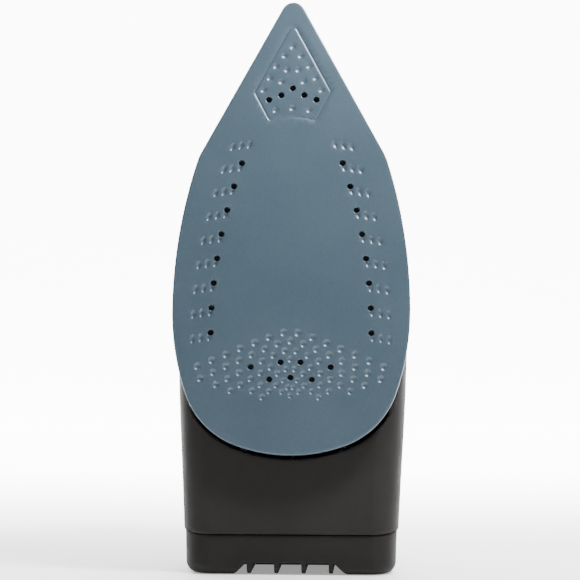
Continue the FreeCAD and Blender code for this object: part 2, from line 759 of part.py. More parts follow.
def make_filler():
    frame = on_filler(plate(rounded_polygon(FRAME_CORNERS), -9, 9.6))
    recess = on_filler(plate(rounded_polygon(mirrored(((12.4, 8.0, 2.0), (-12.6, 8.0, 4.5)))), -3.8, 5))
    mouth = on_filler(plate(rounded_polygon(mirrored(((5.0, 5.8, 3.0), (-9.5, 5.8, 3.0)))), -12, 10))
    pin_hole = on_filler(cylinder("pin_radius", 20, (HINGE_AT[0], -10, HINGE_AT[1]), (0, 1, 0)))
    finish("filler_frame", cut(frame, recess, mouth, pin_hole))
    lid = fuse(
        on_filler(plate(rounded_polygon(DOOR_CORNERS), -2.4, 2.7)),
        on_filler(box((5.0, -6.6, -2.4), (HINGE_AT[0], 6.6, 0.1))),
        on_filler(cylinder(1.7, 13.2, (HINGE_AT[0], -6.6, HINGE_AT[1]), (0, 1, 0))),
    )
    nail = on_filler(cylinder(5.0, 2, (-14.0, 0, -0.8)))
    bore = on_filler(cylinder("pin_radius + run", 14, (HINGE_AT[0], -7, HINGE_AT[1]), (0, 1, 0)))
    finish("filler_door", cut(lid, nail, bore))
    finish("door_pin", on_filler(cylinder("pin_radius", 20, (HINGE_AT[0], -10, HINGE_AT[1]), (0, 1, 0))))


make_tank()
make_filler()


# ------------------------------------------------------------------------------------------- housing and heel

HEEL_SCREWS = ((40.0, 48.0), (-40.0, 48.0))
HANDLE_SCREWS = both_sides(((10.0, -19.0),))


SEAM = LIE.multiply(Placement(Vector(0, 0, D.seam_height), Rotation(Vector(1, 0, 0), D.seam_rise)))


def make_rear_housing():
    above_seam = box((-90, -40, 0), (90, 140, 260), SEAM)
    behind = box((-100, -80, 0), (D.joint_x, 80, 90))
    dial_well = cylinder("dial_radius + 3.2", "crown - dial_seat", ("dial_x", 0, "dial_seat - wall"))
    shell = fuse(cut(HOUSING, HOUSING_INSIDE), common(dial_well, HOUSING))
    shell = common(shell, behind, above_seam)
    posts = []
    for x, y in HEEL_SCREWS:
        side = math.copysign(1, x)
        posts.append(post(4.5, x, y, D.seam_height, 44))
        web = sorted((x, x + side * 16))
        web_box = box((web[0], y - 1.5, D.seam_height), (web[1], y + 1.5, 44), LIE)
        posts.append(common(web_box, HOUSING, above_seam))
    pocket = plate(outline(D.skirt_inset - D.play), 0, "tank_bottom")
    well = cylinder("dial_radius + 0.8", 10, ("dial_x", 0, "dial_seat"))
    hole = cylinder("spindle_radius + play", 20, ("dial_x", 0, 60))
    screws = [cylinder(1.7, 10, (x, y, 68)) for x, y in HANDLE_SCREWS]
    pilots = [post(1.8, x, y, D.seam_height - 1, 40) for x, y in HEEL_SCREWS]
    finish("rear_housing", cut(fuse(shell, *posts), pocket, well, hole, *screws, *pilots))


def notch(grow, top):
    """The heel notch, a wedge open to the front and the floor, drawn standing and laid down."""
    half_top = D.notch_half + grow
    half_floor = D.notch_half + D.notch_flare + grow
    slope = D.notch_flare / D.notch_height
    corners = ((-half_floor - slope, -1), (half_floor + slope, -1), (half_top, top), (-half_top, top))
    edges = []
    for i, corner in enumerate(corners):
        edges.append(Part.LineSegment(Vector(*corner, 0), Vector(*corners[(i + 1) % 4], 0)))
    made = extrude(sketch(Placement(), edges), D.notch_depth + grow, 30)
    made.Placement = LIE.multiply(Placement(Vector(0, D.notch_depth + grow, 0), FRONT_TURN))
    return made


def make_heel():
    below_seam = box((-90, -40, -60), (90, 140, 0), SEAM)
    outer = common(housing_form(D.cap_inset), box((-90, -20, 0), (90, 140, 60), LIE), below_seam)
    rounded = doc.addObject("Part::Fillet", "fillet")
    rounded.Base = outer
    rounded.Edges = [
        (i, D.cap_round, D.cap_round)
        for i, e in enumerate(edges_of(outer), 1)
        if all(abs(STAND.multVec(v.Point).z) < 1e-3 for v in e.Vertexes)
    ]
    outer = rounded
    inside = common(housing_form(D.cap_inset + D.wall), box((-90, -20, D.cap_floor), (90, 140, 60), LIE))
    roof = notch(D.cap_floor, D.notch_height + D.cap_floor)
    shell = cut(outer, cut(inside, roof))
    posts = [common(post(6.0, x, y, 0, D.seam_height), outer) for x, y in HEEL_SCREWS]
    ribs = []
    for step in (-1.5, -0.5, 0.5, 1.5):
        x = step * D.rib_pitch
        ribs.append(box((x - D.rib_thick / 2, 3, 0), (x + D.rib_thick / 2, D.notch_depth, 7), LIE))
    sinks = [post(3.6, x, y, -1, 6) for x, y in HEEL_SCREWS]
    shanks = [post(1.9, x, y, -1, 30) for x, y in HEEL_SCREWS]
    slots = [contact_slot(step, 2, 20) for step in (-1, 0, 1)]
    cap = cut(fuse(shell, *posts), notch(0.0, D.notch_height), *sinks, *shanks)
    ribs = [common(rib, outer) for rib in ribs]
    finish("heel_cap", cut(fuse(cap, *ribs), *slots))
    heads = [fuse(post(3.2, x, y, 3.6, 6), post(1.8, x, y, 3.6, 34)) for x, y in HEEL_SCREWS]
    finish("heel_screws", group(*heads))


def contact_slot(step, low, high):
    """One of the three slots between the ribs, where a base's contacts reach in."""
    x = step * D.rib_pitch
    y = D.contact_y
    return box((x - 4.5, y, low), (x + 4.5, y + D.contact_gap, high), LIE)


def make_dock():
    block = box((-24, 14, D.notch_height + D.cap_floor), (24, 33, 27), LIE)
    slots = [contact_slot(step, 2, 20) for step in (-1, 0, 1)]
    blades = []
    tunnels = []
    rear = D.contact_y + D.contact_gap
    for step in (-1, 0, 1):
        x = step * D.rib_pitch
        corners = (x - 3, rear - 1, 9), (x + 3, rear, 33)
        blades.append(box(*corners, LIE))
        tunnels.append(box(*corners, LIE))
    finish("dock_socket", cut(block, *slots, *tunnels))
    finish("dock_contacts", group(*blades))


def make_electrics():
    board = box((-34, -34, 60), (8, 34, 61.6))
    relay = box((-24, 8, 46), (-8, 24, 60))
    store = cylinder(5.0, 14, (-14, -14, 46))
    driver = box((-30, -30, 56), (-20, -22, 60))
    finish("control_board", fuse(board, relay, store, driver))
    finish("tilt_sensor", box((-6, -30, 52), (4, -20, 60)))
    tab = LIE.multVec(Vector(0, D.contact_y + D.contact_gap - 0.5, 33.8))
    leads = []
    for side in (1, -1):
        start = (tab.x, side * D.rib_pitch, tab.z)
        route = (start, (-14, side * 15, 33), (6, side * 26, 40), (20, side * 33, 40), (20, side * 33, 30))
        leads.append(tube(route, 4, 1.4))
    leads.append(tube(((tab.x, 0, tab.z), (-10, 0, 34), (10, 0, 38), (21, 0, 34), (21, 0, 21)), 4, 1.4))
    finish("internal_leads", group(*leads))


make_rear_housing()
make_heel()
make_dock()
make_electrics()


# ---------------------------------------------------------------------------------------------------- handle

HANDLE_SIDE = (
    (-36, 60, 4), (-41, 100, 60), (-37, 141, 17), (40, 147, 300),
    (118, 143, 80), (169, 141, 15), (184, 106, 26), (178, 54, 3),
)
FINGER_GAP = ((2, 40, 3), (3, 112, 17), (106, 115, 20), (126, 40, 3))
HANDLE_PLAN = mirrored((
    (182, 13, 11), (162, 22, 30), (122, 22.5, 50), (90, 16.5, 70),
    (15, 16.5, 70), (-18, 22, 40), (-44, 20, 14),
))
GRIP_REGION = ((-70, 123, 3), (-70, 170, 3), (117, 170, 3), (117, 130, 3))
BEZEL_REGION = ((117.3, 130, 1), (117.3, 170, 3), (210, 170, 3), (210, 106, 1))


def handle_form(shrink):
    """The handle's outside, or its inside when shrink is the wall."""
    side = side_slab(HANDLE_SIDE, 40, -shrink if shrink else 0)
    gap = side_slab(FINGER_GAP, 60, shrink)
    plan = plate(rounded_polygon(HANDLE_PLAN), 20, 160, -shrink if shrink else 0)
    return common(cut(side, gap), plan)


def make_handle():
    outer = handle_form(0.0)
    inside = handle_form(D.handle_wall)
    column_floor = box((-60, -40, 0), (60, 40, D.crown + 3.0))
    cavity = cut(inside, column_floor)
    bosses = [cylinder(4.5, 16, (x, y, "crown")) for x, y in HANDLE_SCREWS]
    pilots = [cylinder(1.5, 18, (x, y, "crown - 2")) for x, y in HANDLE_SCREWS]
    grip_region = side_slab(GRIP_REGION, 60)
    bezel_region = side_slab(BEZEL_REGION, 60)
    over_body = box((-100, -80, 0), (D.joint_x, 80, D.crown))
    arch = cut(outer, cavity, over_body, TANK, grip_region, bezel_region)
    nozzle_hole = cylinder(4.0, 30, ("nozzle_x - 10", 0, "nozzle_z"), (1, 0, 0))
    finish("handle_body", cut(fuse(arch, *bosses), nozzle_hole, *pilots))
    finish("handle_grip", common(cut(outer, cavity), grip_region))

    holes = [cylinder("button_radius + play", 30, ("button_x", s * D.button_y, 128)) for s in (1, -1)]
    slot = box((168, -13.5, D.lever_bottom - 0.8), (200, 13.5, D.lever_bottom + D.lever_thick + 0.8))
    lens_hole = cylinder(3.0, 30, ("lens_x", 0, 125))
    finish("control_bezel", cut(common(cut(outer, cavity), bezel_region), slot, lens_hole, *holes))
    screws = [screw(x, y, 69.0, 89.0, 3.0, 2.6, 1.5) for x, y in HANDLE_SCREWS]
    finish("handle_screws", group(*screws))
    lens = fuse(cylinder(3.0, 4.6, ("lens_x", 0, 138.6)), cylinder(4.0, 1.2, ("lens_x", 0, 137.4)))
    finish("indicator_lens", lens)
    lamp_foot = box((D.lens_x - 3.5, -4, 131.4), (D.lens_x + 3.5, 4, 133.0))
    finish("indicator_lamp", fuse(cylinder(2.4, 4.0, ("lens_x", 0, 133.0)), lamp_foot))


def make_pump(name, side):
    """A push button with its piston, the pump that it works, the return spring and the pickup pipe."""
    y = side * D.button_y
    barrel = cylinder("pump_radius", "pump_top - pump_bottom", ("button_x", y, "pump_bottom"))
    bore = cylinder("piston_radius + run", 40, ("button_x", y, "pump_bottom + 3"))
    foot = cylinder(1.4, 10, ("button_x", y, "pump_bottom - 3"))
    finish(name + "_pump", cut(barrel, bore, foot))
    cap = cylinder("button_radius", "button_top - button_bottom", ("button_x", y, "button_bottom"))
    finish(name + "_button", round_rim(cap, D.button_top, 1.0))
    finish(name + "_piston", cylinder(
        "piston_radius", "button_bottom - pump_bottom - 14", ("button_x", y, "pump_bottom + 14")
    ))
    coil = Part.makeHelix(2.0, D.button_bottom - D.pump_top - 1.0, 6.2)
    ring = Part.Wire([Part.Circle(Vector(6.2, 0, 0), Vector(0, 1, 0), 0.4).toShape()])
    spring = solid(Part.Wire(coil.Edges).makePipeShell([ring], True, True))
    spring.Placement = Placement(Vector(D.button_x, y, D.pump_top + 0.5), Rotation())
    finish(name + "_spring", spring)
    pipe = cylinder("pipe_radius", "pump_bottom - 31", ("button_x", y, 31))
    finish(name + "_pickup", cut(pipe, cylinder(1.2, "pump_bottom - 30", ("button_x", y, 30))))


def make_hoses():
    level = D.pump_bottom + 3
    start = (D.button_x + D.pump_radius, D.button_y, level)
    end = (D.nozzle_x, 0, D.nozzle_z)
    route = (start, (D.nozzle_x - 14, 10, level), (D.nozzle_x - 3.8, 0, D.nozzle_z), end)
    finish("spray_hose", tube(route, 3.5, 1.5))
    start = (D.button_x - D.pump_radius, -D.button_y, level)
    end = (D.burst_x, -D.button_y, D.casting_top + 1.6)
    finish("burst_hose", tube((start, (D.burst_x, -D.button_y, level), end), 5.0, D.pipe_radius))
    nozzle = fuse(
        cylinder(4.0, 18.5, ("nozzle_x", 0, "nozzle_z"), (1, 0, 0)),
        cone(6.0, 4.4, 2.4, ("nozzle_x + 15.6", 0, "nozzle_z"), (1, 0, 0)),
    )
    finish("spray_nozzle", cut(nozzle, cylinder(0.6, 30, ("nozzle_x + 1", 0, "nozzle_z"), (1, 0, 0))))


def make_steam_valve():
    carrier = common(box((150, -30, 104), (166, 30, 107)), handle_form(D.handle_wall))
    finish("lever_carrier", cut(carrier, cylinder("hub_radius + run", 8, ("valve_x", 0, 102))))
    arm = cylinder(9.0, "lever_thick", ("valve_x", 0, "lever_bottom"))
    hub = cylinder("hub_radius", "lever_bottom - 103", ("valve_x", 0, 103))
    collar = cylinder("hub_radius + 2", "lever_bottom - 107.1", ("valve_x", 0, 107.1))
    bar = box((0, -2.3, D.lever_bottom), (D.lever_reach, 2.3, D.lever_bottom + D.lever_thick))
    pad = cylinder(3.4, 9.0, (D.lever_reach, 0, "lever_bottom - 3"))
    turned = fuse(bar, pad)
    turned.Placement = Placement(Vector(D.valve_x, 0, 0), Rotation(Vector(0, 0, 1), D.lever_rest))
    bore = cylinder("rod_radius + play", 30, ("valve_x", 0, 100))
    finish("steam_lever", cut(fuse(arm, hub, collar, turned), bore))
    finish("valve_rod", fuse(
        cylinder("rod_radius", 95.0, ("valve_x", 0, 21.0)),
        cylinder(3.0, 2.0, ("valve_x", 0, 84.0)),
    ))


make_handle()
make_pump("spray", 1)
make_pump("burst", -1)
make_hoses()
make_steam_valve()


# ----------------------------------------------------------------------------------------------------- export


def export():
    doc.recompute()
    bad = [o.Label for o in doc.Objects if {"Invalid", "Error"} & set(o.State)]
    if bad:
        raise RuntimeError(f"these objects failed: {bad}")
    os.makedirs("parts", exist_ok=True)
    for obj in SUBPARTS:
        if obj.Shape.isNull() or not obj.Shape.isValid() or not obj.Shape.Solids:
            raise RuntimeError(f"{obj.Label} is not a valid solid")
    for obj in SUBPARTS:
        obj.Shape.exportStep(f"parts/{obj.Label}.step")
        print(obj.Label, "solids", len(obj.Shape.Solids), "volume", round(obj.Shape.Volume))


export()
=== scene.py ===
"""Looks of the cordless steam iron, standing on its heel.

Pieces are drawn in the ironing frame, in millimetres: x forward from the soleplate's rear end to the
nose, y to the left and z up from the working face. IRON carries them to the row frame, whose place comes
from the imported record: the dial's axis is the ironing frame's z, and the working face's mount is on z = 0.
"""

import json
import math

import bmesh
import bpy
import numpy as np
from mathutils import Matrix, Vector
from mathutils.geometry import delaunay_2d_cdt


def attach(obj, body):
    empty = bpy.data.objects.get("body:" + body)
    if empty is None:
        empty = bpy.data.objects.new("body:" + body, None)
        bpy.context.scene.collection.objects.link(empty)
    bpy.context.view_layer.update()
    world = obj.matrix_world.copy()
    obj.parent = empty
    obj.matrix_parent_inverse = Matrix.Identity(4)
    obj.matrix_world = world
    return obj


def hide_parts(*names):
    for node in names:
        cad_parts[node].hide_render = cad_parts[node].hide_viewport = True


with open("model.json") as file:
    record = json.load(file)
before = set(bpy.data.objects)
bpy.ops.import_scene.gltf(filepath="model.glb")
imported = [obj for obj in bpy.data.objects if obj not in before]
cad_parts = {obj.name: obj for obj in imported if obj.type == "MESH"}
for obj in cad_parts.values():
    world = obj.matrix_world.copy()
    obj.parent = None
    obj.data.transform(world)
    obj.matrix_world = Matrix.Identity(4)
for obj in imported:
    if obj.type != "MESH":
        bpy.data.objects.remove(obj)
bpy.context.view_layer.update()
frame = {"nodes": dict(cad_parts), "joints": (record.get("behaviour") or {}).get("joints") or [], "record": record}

MM = 0.001
RECORD = frame["record"]
JOINTS = {joint["name"]: joint for joint in frame["joints"]}
MOUNTS = {mount["name"]: mount for mount in RECORD["mounts"]}
SLOTS = {part["node"]: part["material_slot"] for part in RECORD["subparts"]}
BODIES = {node: body for body, nodes in RECORD["behaviour"]["bodies"].items() for node in nodes}
UP = Vector(JOINTS["dial_turn"]["axis"])
LEFT = Vector((1, 0, 0))
AHEAD = LEFT.cross(UP)
FACE_STATION = 125.0
ORIGIN = Vector(MOUNTS["working_face"]["pos_m"]) - AHEAD * FACE_STATION * MM
IRON = Matrix.Translation(ORIGIN) @ Matrix((AHEAD, LEFT, UP)).transposed().to_4x4() @ Matrix.Scale(MM, 4)


# ---- meshes


def make_piece(name, points, faces, node):
    """A smooth mesh from points in the ironing frame, in place of a CAD node: its body, slot and look."""
    mesh = bpy.data.meshes.new(name)
    mesh.from_pydata([tuple(p) for p in points], [], [tuple(f) for f in faces])
    mesh.transform(IRON)
    mesh.update()
    mesh.polygons.foreach_set("use_smooth", [True] * len(mesh.polygons))
    mesh.materials.append(SLOT_LOOKS[SLOTS[node]])
    piece = bpy.data.objects.new(name, mesh)
    bpy.context.scene.collection.objects.link(piece)
    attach(piece, BODIES[node])
    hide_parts(node)


# ---- soleplate outline

PLATE_LENGTH = 240.0
PLATE_HALF = 61.8
PLATE_THICK = 2.5
WAIST = 76.3
NOSE_ANGLE = math.radians(28.65)
TIP_RADIUS = 6.4
SHOULDER_RADIUS = 30.8
SIDE_RADIUS = 262.0
FLANK_RADIUS = 130.7
FLANK_TURN = math.radians(19.8)
CORNER_RADIUS = 43.4
TAIL_RADIUS = 82.3


def arc(centre, radius, start, end, count):
    """Points along an arc, its end left out."""
    angles = start + (end - start) * np.arange(count) / count
    return [(centre[0] + radius * math.cos(a), centre[1] + radius * math.sin(a)) for a in angles]


def outline(inset=0.0):
    """The soleplate's outline as a closed run of points, anticlockwise from the nose tip, moved in by inset.

    A straight nose line runs from the tip's arc to the shoulder's; side, flank, corner and tail arcs follow.
    """
    normal = Vector((math.sin(NOSE_ANGLE), math.cos(NOSE_ANGLE)))
    along = Vector((-math.cos(NOSE_ANGLE), math.sin(NOSE_ANGLE)))
    tip = Vector((PLATE_LENGTH - TIP_RADIUS, 0))
    side = Vector((WAIST, PLATE_HALF - SIDE_RADIUS))
    flank = Vector((WAIST, PLATE_HALF - FLANK_RADIUS))
    corner = flank + Vector((-math.sin(FLANK_TURN), math.cos(FLANK_TURN))) * (FLANK_RADIUS - CORNER_RADIUS)
    beta = math.asin(corner.y / (TAIL_RADIUS - CORNER_RADIUS))
    tail = corner + Vector((math.cos(beta), -math.sin(beta))) * (TAIL_RADIUS - CORNER_RADIUS)
    gap = tip + normal * (TIP_RADIUS - SHOULDER_RADIUS) - side
    b = gap.dot(along)
    c = gap.dot(gap) - (SIDE_RADIUS - SHOULDER_RADIUS) ** 2
    shoulder = side + gap + along * (-b + math.sqrt(b * b - c))
    to_side = shoulder - side
    upright = math.pi / 2
    nose = upright - NOSE_ANGLE
    meet = math.atan2(to_side.y, to_side.x)
    half = arc(tip, TIP_RADIUS - inset, 0, nose, 8)
    start = tip + normal * (TIP_RADIUS - inset)
    end = shoulder + normal * (SHOULDER_RADIUS - inset)
    steps = 28
    half += [tuple(start.lerp(end, i / steps)) for i in range(steps)]
    half += arc(shoulder, SHOULDER_RADIUS - inset, nose, meet, 4)
    half += arc(side, SIDE_RADIUS - inset, meet, upright, 44)
    half += arc(flank, FLANK_RADIUS - inset, upright, upright + FLANK_TURN, 20)
    half += arc(corner, CORNER_RADIUS - inset, upright + FLANK_TURN, math.pi - beta, 22)
    half += arc(tail, TAIL_RADIUS - inset, math.pi - beta, math.pi, 14)
    end_point = (tail.x - TAIL_RADIUS + inset, 0.0)
    return half + [end_point] + [(x, -y) for x, y in reversed(half[1:])]


# ---- soleplate face

SIDE_ROWS = 9
SIDE_PITCH = 13.0
SIDE_FIRST = math.radians(22.1)
SIDE_ARC = (64.3, 41.6, 270.0)
SIDE_STREAKS = ((0.6, 2.2), (5.0, 2.8), (9.3, 3.5))
FAN_COUNTS = (14, 15, 14, 13, 10, 9, 4, 1)
FAN_TOP = 64.9
FAN_STEP = 4.73
FAN_HOLES = ((2, 3.5), (3, 1.0), (4, 2.5), (5, 0.0))
NOSE_HOLES = ((0.0, 193.7), (6.05, 190.0), (12.4, 187.5))
NOSE_DIMPLES = (
    (0.0, 216.1), (4.2, 211.2), (8.7, 205.6), (12.0, 199.2), (15.2, 192.8),
    (3.0, 203.6), (5.8, 197.3), (0.0, 183.1), (8.8, 182.0),
)
HOLE_RADIUS = 1.55


def both_sides(points):
    """The points with y and -y, those on the centreline once: x, y."""
    return [(x, y * s) for y, x in points for s in ((1, -1) if y else (1,))]


def side_row(row):
    """The inner end of a side row, on an arc inside the plate's edge: x, y and the arc's angle."""
    widest, reach, radius = SIDE_ARC
    angle = SIDE_FIRST - row * SIDE_PITCH / radius
    return widest + radius * math.sin(angle), reach - radius * (1 - math.cos(angle)), angle


def fan_point(row, index):
    """A point of the rear fan, whose rows are chevrons and whose pitch narrows towards the rear end: y, x."""
    pitch = 7.4 - 0.75 * row
    drop = math.hypot(3.16 * index, 2.6) - 2.6
    return pitch * index, FAN_TOP - FAN_STEP * row - drop


def plate_holes():
    places = both_sides(NOSE_HOLES)
    for row in range(1, SIDE_ROWS):
        x, y, _ = side_row(row)
        places += [(x, y), (x, -y)]
    return places + both_sides([fan_point(row, index) for row, index in FAN_HOLES])


def plate_dimples():
    """Every dimple as x, y, half length, half width, turn from the x axis, depth."""
    made = [(x, y, 1.75, 1.75, 0.0, 0.75) for x, y in both_sides(NOSE_DIMPLES)]
    for row, count in enumerate(FAN_COUNTS):
        for i in range(count):
            index = i - (count - 1) / 2
            if (row, abs(index)) in FAN_HOLES:
                continue
            y, x = fan_point(row, abs(index))
            size = 2.0 - 0.085 * row
            made.append((x, math.copysign(y, index), size, size, 0.0, 0.85 - 0.04 * row))
    for row in range(SIDE_ROWS):
        x, y, angle = side_row(row)
        for out, back in SIDE_STREAKS:
            for s in (1, -1):
                made.append((x - back, s * (y + out), 2.5, 1.3, s * (-0.8 * angle - 0.1), 0.85))
    return made


def dimple_depths(xy, dimples):
    """Depth of the dimpled face at each point: round or long bowls with a soft lip."""
    depth = np.zeros(len(xy))
    for x, y, length, width, turn, deep in dimples:
        dx = xy[:, 0] - x
        dy = xy[:, 1] - y
        along = (dx * math.cos(turn) + dy * math.sin(turn)) / length
        across = (-dx * math.sin(turn) + dy * math.cos(turn)) / width
        far = np.hypot(along, across)
        bowl = deep * np.clip(1.0 - far**2, 0, None)
        lip = deep * 0.05 * np.clip(1.0 - np.abs(far - 1.0) / 0.15, 0, None) ** 2
        depth = np.maximum(depth, bowl + lip * (far > 0.8))
    return depth


KITE = ((228.9, 0.0, 2.4), (191.6, 20.1, 1.6), (176.6, 12.2, 1.2))
KITE_REAR = (178.9, 0.0, 30.0)
PANEL_DEPTH = 0.06
PANEL_STEP = 0.7
GROOVE_DEPTH = 0.45
GRID_PITCH = 3.4


def kite_run(grow):
    """The nose panel's outline as points, moved outwards by grow: a kite with a hollow rear edge."""
    corners = KITE + (KITE_REAR,) + mirrored(KITE[1:])
    points = np.array(rounded_run(corners))
    ahead = np.roll(points, -1, axis=0) - np.roll(points, 1, axis=0)
    ahead /= np.linalg.norm(ahead, axis=1)[:, None]
    outwards = np.stack([ahead[:, 1], -ahead[:, 0]], axis=1)
    return points + outwards * grow


def mirrored(corners):
    """Corners, (x, y, radius), on the other side, in the order that closes the outline."""
    return tuple((x, -y, r) for x, y, r in reversed(corners))


def corner_arc(before, corner, after, spacing, extra=0):
    """Points of the arc that rounds a corner, (x, y, radius), between its neighbours."""
    x, y, radius = corner
    if not radius:
        return [(x, y)]
    here = Vector((x, y))
    back = (Vector(before[:2]) - here).normalized()
    ahead = (Vector(after[:2]) - here).normalized()
    half = back.angle(ahead) / 2
    centre = here + (back + ahead).normalized() * radius / math.sin(half)
    reach = radius / math.tan(half)
    start = here + back * reach - centre
    turn = start.angle_signed(here + ahead * reach - centre)
    first = math.atan2(start.y, start.x)
    steps = max(3, int(abs(turn) * radius / spacing) + extra)
    angles = [first - turn * k / steps for k in range(steps + 1)]
    return [(centre.x + radius * math.cos(a), centre.y + radius * math.sin(a)) for a in angles]


def rounded_run(corners, spacing=1.2):
    """Points round a closed polygon whose corners, (x, y, radius), are rounded by tangent arcs."""
    count = len(corners)
    rounds = []
    for i, corner in enumerate(corners):
        rounds.append(corner_arc(corners[i - 1], corner, corners[(i + 1) % count], spacing, 2))
    points = []
    for i, run in enumerate(rounds):
        points += run
        a = Vector(run[-1])
        b = Vector(rounds[(i + 1) % count][0])
        steps = int((b - a).length / spacing)
        points += [tuple(a.lerp(b, k / steps)) for k in range(1, steps)]
    return points


def inside_run(xy, run):
    """Whether each point lies inside a closed run of points."""
    run = np.asarray(run)
    ahead = np.roll(run, -1, axis=0)
    inside = np.zeros(len(xy), bool)
    for (x1, y1), (x2, y2) in zip(run, ahead):
        crosses = (y1 > xy[:, 1]) != (y2 > xy[:, 1])
        if y1 != y2:
            inside ^= crosses & (xy[:, 0] < (x2 - x1) * (xy[:, 1] - y1) / (y2 - y1) + x1)
    return inside


def distance_to_run(xy, run):
    """Distance from each point to a closed run of points."""
    run = np.asarray(run)
    ahead = np.roll(run, -1, axis=0)
    best = np.full(len(xy), 1e9)
    for a, b in zip(run, ahead):
        edge = b - a
        t = np.clip(((xy - a) @ edge) / max(edge @ edge, 1e-12), 0, 1)
        best = np.minimum(best, np.linalg.norm(xy - a - t[:, None] * edge, axis=1))
    return best


def signed_distance(xy, run):
    """Distance to a closed run of points, negative inside."""
    return distance_to_run(xy, run) * np.where(inside_run(xy, run), -1, 1)


def smoothstep(low, high, value):
    t = np.clip((value - low) / (high - low), 0, 1)
    return t * t * (3 - 2 * t)


def ring_round(x, y, radius, count=28, start=0.0):
    """Points of a circle."""
    return arc((x, y), radius, start, start + 2 * math.pi, count)


def soft_points(holes, dimples):
    """Points of the face's mesh besides its rims: round holes, dimples and the panel's line, and a grid."""
    soft = []
    for x, y in holes:
        soft += ring_round(x, y, HOLE_RADIUS + 0.6)
        soft += ring_round(x, y, HOLE_RADIUS + 1.3, 16, 0.1)
    rings = ((0.3, 8), (0.55, 12), (0.76, 18), (0.9, 24), (0.97, 24), (1.04, 24), (1.15, 24))
    for x, y, length, width, turn, _ in dimples:
        soft.append((x, y))
        for share, count in rings:
            for angle in 2 * math.pi * np.arange(count) / count + share:
                a = length * share * math.cos(angle)
                b = width * share * math.sin(angle)
                along = x + a * math.cos(turn) - b * math.sin(turn)
                soft.append((along, y + a * math.sin(turn) + b * math.cos(turn)))
    for grow in (-1.5, -1.0, -0.7, -0.4, -0.15, 0.1, 0.35, 0.7):
        soft += [tuple(p) for p in kite_run(grow)]
    soft += outline(2.2) + outline(4.2)
    row_gap = GRID_PITCH * 0.866
    for row in range(int(PLATE_LENGTH / row_gap) + 1):
        for column in range(-20, 21):
            soft.append((row * row_gap, (column + (row % 2) / 2) * GRID_PITCH))
    soft = np.array(soft)
    clear = signed_distance(soft, outline(1.6)) < 0
    for x, y in holes:
        clear &= np.hypot(soft[:, 0] - x, soft[:, 1] - y) > HOLE_RADIUS + 0.45
    soft = soft[clear]
    return [tuple(p) for p in soft[thin_out(soft, 0.16)]]


def filled(loops, soft, rim, holes, radius):
    """Triangles between closed loops of points, the first round the others, through the soft points too.

    Returns the points, the triangles and, for each point of a loop in turn, its place among the points.
    """
    flat = []
    edges = []
    for loop in loops:
        edges += [(len(flat) + i, len(flat) + (i + 1) % len(loop)) for i in range(len(loop))]
        flat += loop
    result = delaunay_2d_cdt([Vector(p) for p in flat + soft], edges, [], 0, 1e-6)
    xy = np.array([(v.x, v.y) for v in result[0]])
    centres = np.array([xy[list(t)].mean(axis=0) for t in result[2]])
    keep = inside_run(centres, rim)
    for x, y in holes:
        keep &= np.hypot(centres[:, 0] - x, centres[:, 1] - y) > radius * 0.985
    place = {old: new for new, olds in enumerate(result[3]) for old in olds}
    return xy, [tuple(t) for t, k in zip(result[2], keep) if k], [place[i] for i in range(len(flat))]


def soleplate_mesh():
    """Points and faces of the soleplate: its dimpled face, the rim, the bores and the flat back."""
    holes = plate_holes()
    dimples = plate_dimples()
    rim = [(0.0, PLATE_THICK), (0.0, 0.75), (0.08, 0.42), (0.26, 0.17), (0.52, 0.04), (0.85, 0.0)]
    rim_runs = [outline(inset) for inset, _ in rim]
    mouth = HOLE_RADIUS + 0.32
    loops = [rim_runs[-1]] + [ring_round(x, y, mouth)[::-1] for x, y in holes]
    xy, triangles, place = filled(loops, soft_points(holes, dimples), rim_runs[-1], holes, mouth)
    panel = signed_distance(xy, kite_run(0.0))
    step = PANEL_DEPTH * (1 - smoothstep(-PANEL_STEP, 0.2, panel))
    groove = GROOVE_DEPTH * np.exp(-((panel / GROOVE_DEPTH) ** 2))
    height = step + groove + dimple_depths(xy, dimples)
    points = [(x, y, z) for (x, y), z in zip(xy, height)]
    faces = [t[::-1] for t in triangles]

    def wall(previous, run):
        """Joins a ring of points to a new one."""
        ring = list(range(len(points), len(points) + len(run)))
        points.extend(run)
        faces.extend(bridge(previous, ring))
        return ring

    previous = place[:len(loops[0])]
    for (_, z), run in list(zip(rim, rim_runs))[-2::-1]:
        previous = wall(previous, [(x, y, z) for x, y in run])
    order = list(previous)
    back_loops = [rim_runs[0]]
    used = len(loops[0])
    for loop, (x, y) in zip(loops[1:], holes):
        previous = place[used:used + len(loop)]
        used += len(loop)
        top = np.mean([points[i][2] for i in previous])
        for grow, z in ((0.1, top + 0.1), (0.0, top + 0.34), (0.0, PLATE_THICK)):
            ring = ring_round(x, y, HOLE_RADIUS + grow)[::-1]
            previous = wall(previous, [(px, py, z) for px, py in ring])
        order += previous
        back_loops.append([points[i][:2] for i in previous])
    xy, triangles, place = filled(back_loops, [], rim_runs[0], holes, HOLE_RADIUS)
    corner = {new: order[old] for old, new in enumerate(place)}
    faces += [tuple(corner[i] for i in t) for t in triangles]
    return points, faces


def thin_out(points, gap):
    """Indices of the points that stay when those nearer than gap to an earlier one are dropped."""
    cells = {}
    kept = []
    for index, (x, y) in enumerate(points):
        key = (int(x // gap), int(y // gap))
        around = [(key[0] + i, key[1] + j) for i in (-1, 0, 1) for j in (-1, 0, 1)]
        others = [points[other] for cell in around for other in cells.get(cell, ())]
        if all(math.hypot(u - x, v - y) >= gap for u, v in others):
            cells.setdefault(key, []).append(index)
            kept.append(index)
    return kept


def bridge(first, second):
    """Quads between two rings of the same length."""
    count = len(first)
    return [(first[i], first[(i + 1) % count], second[(i + 1) % count], second[i]) for i in range(count)]


# ---- fields

# A field gives each point its signed distance to a surface, in millimetres, negative inside.


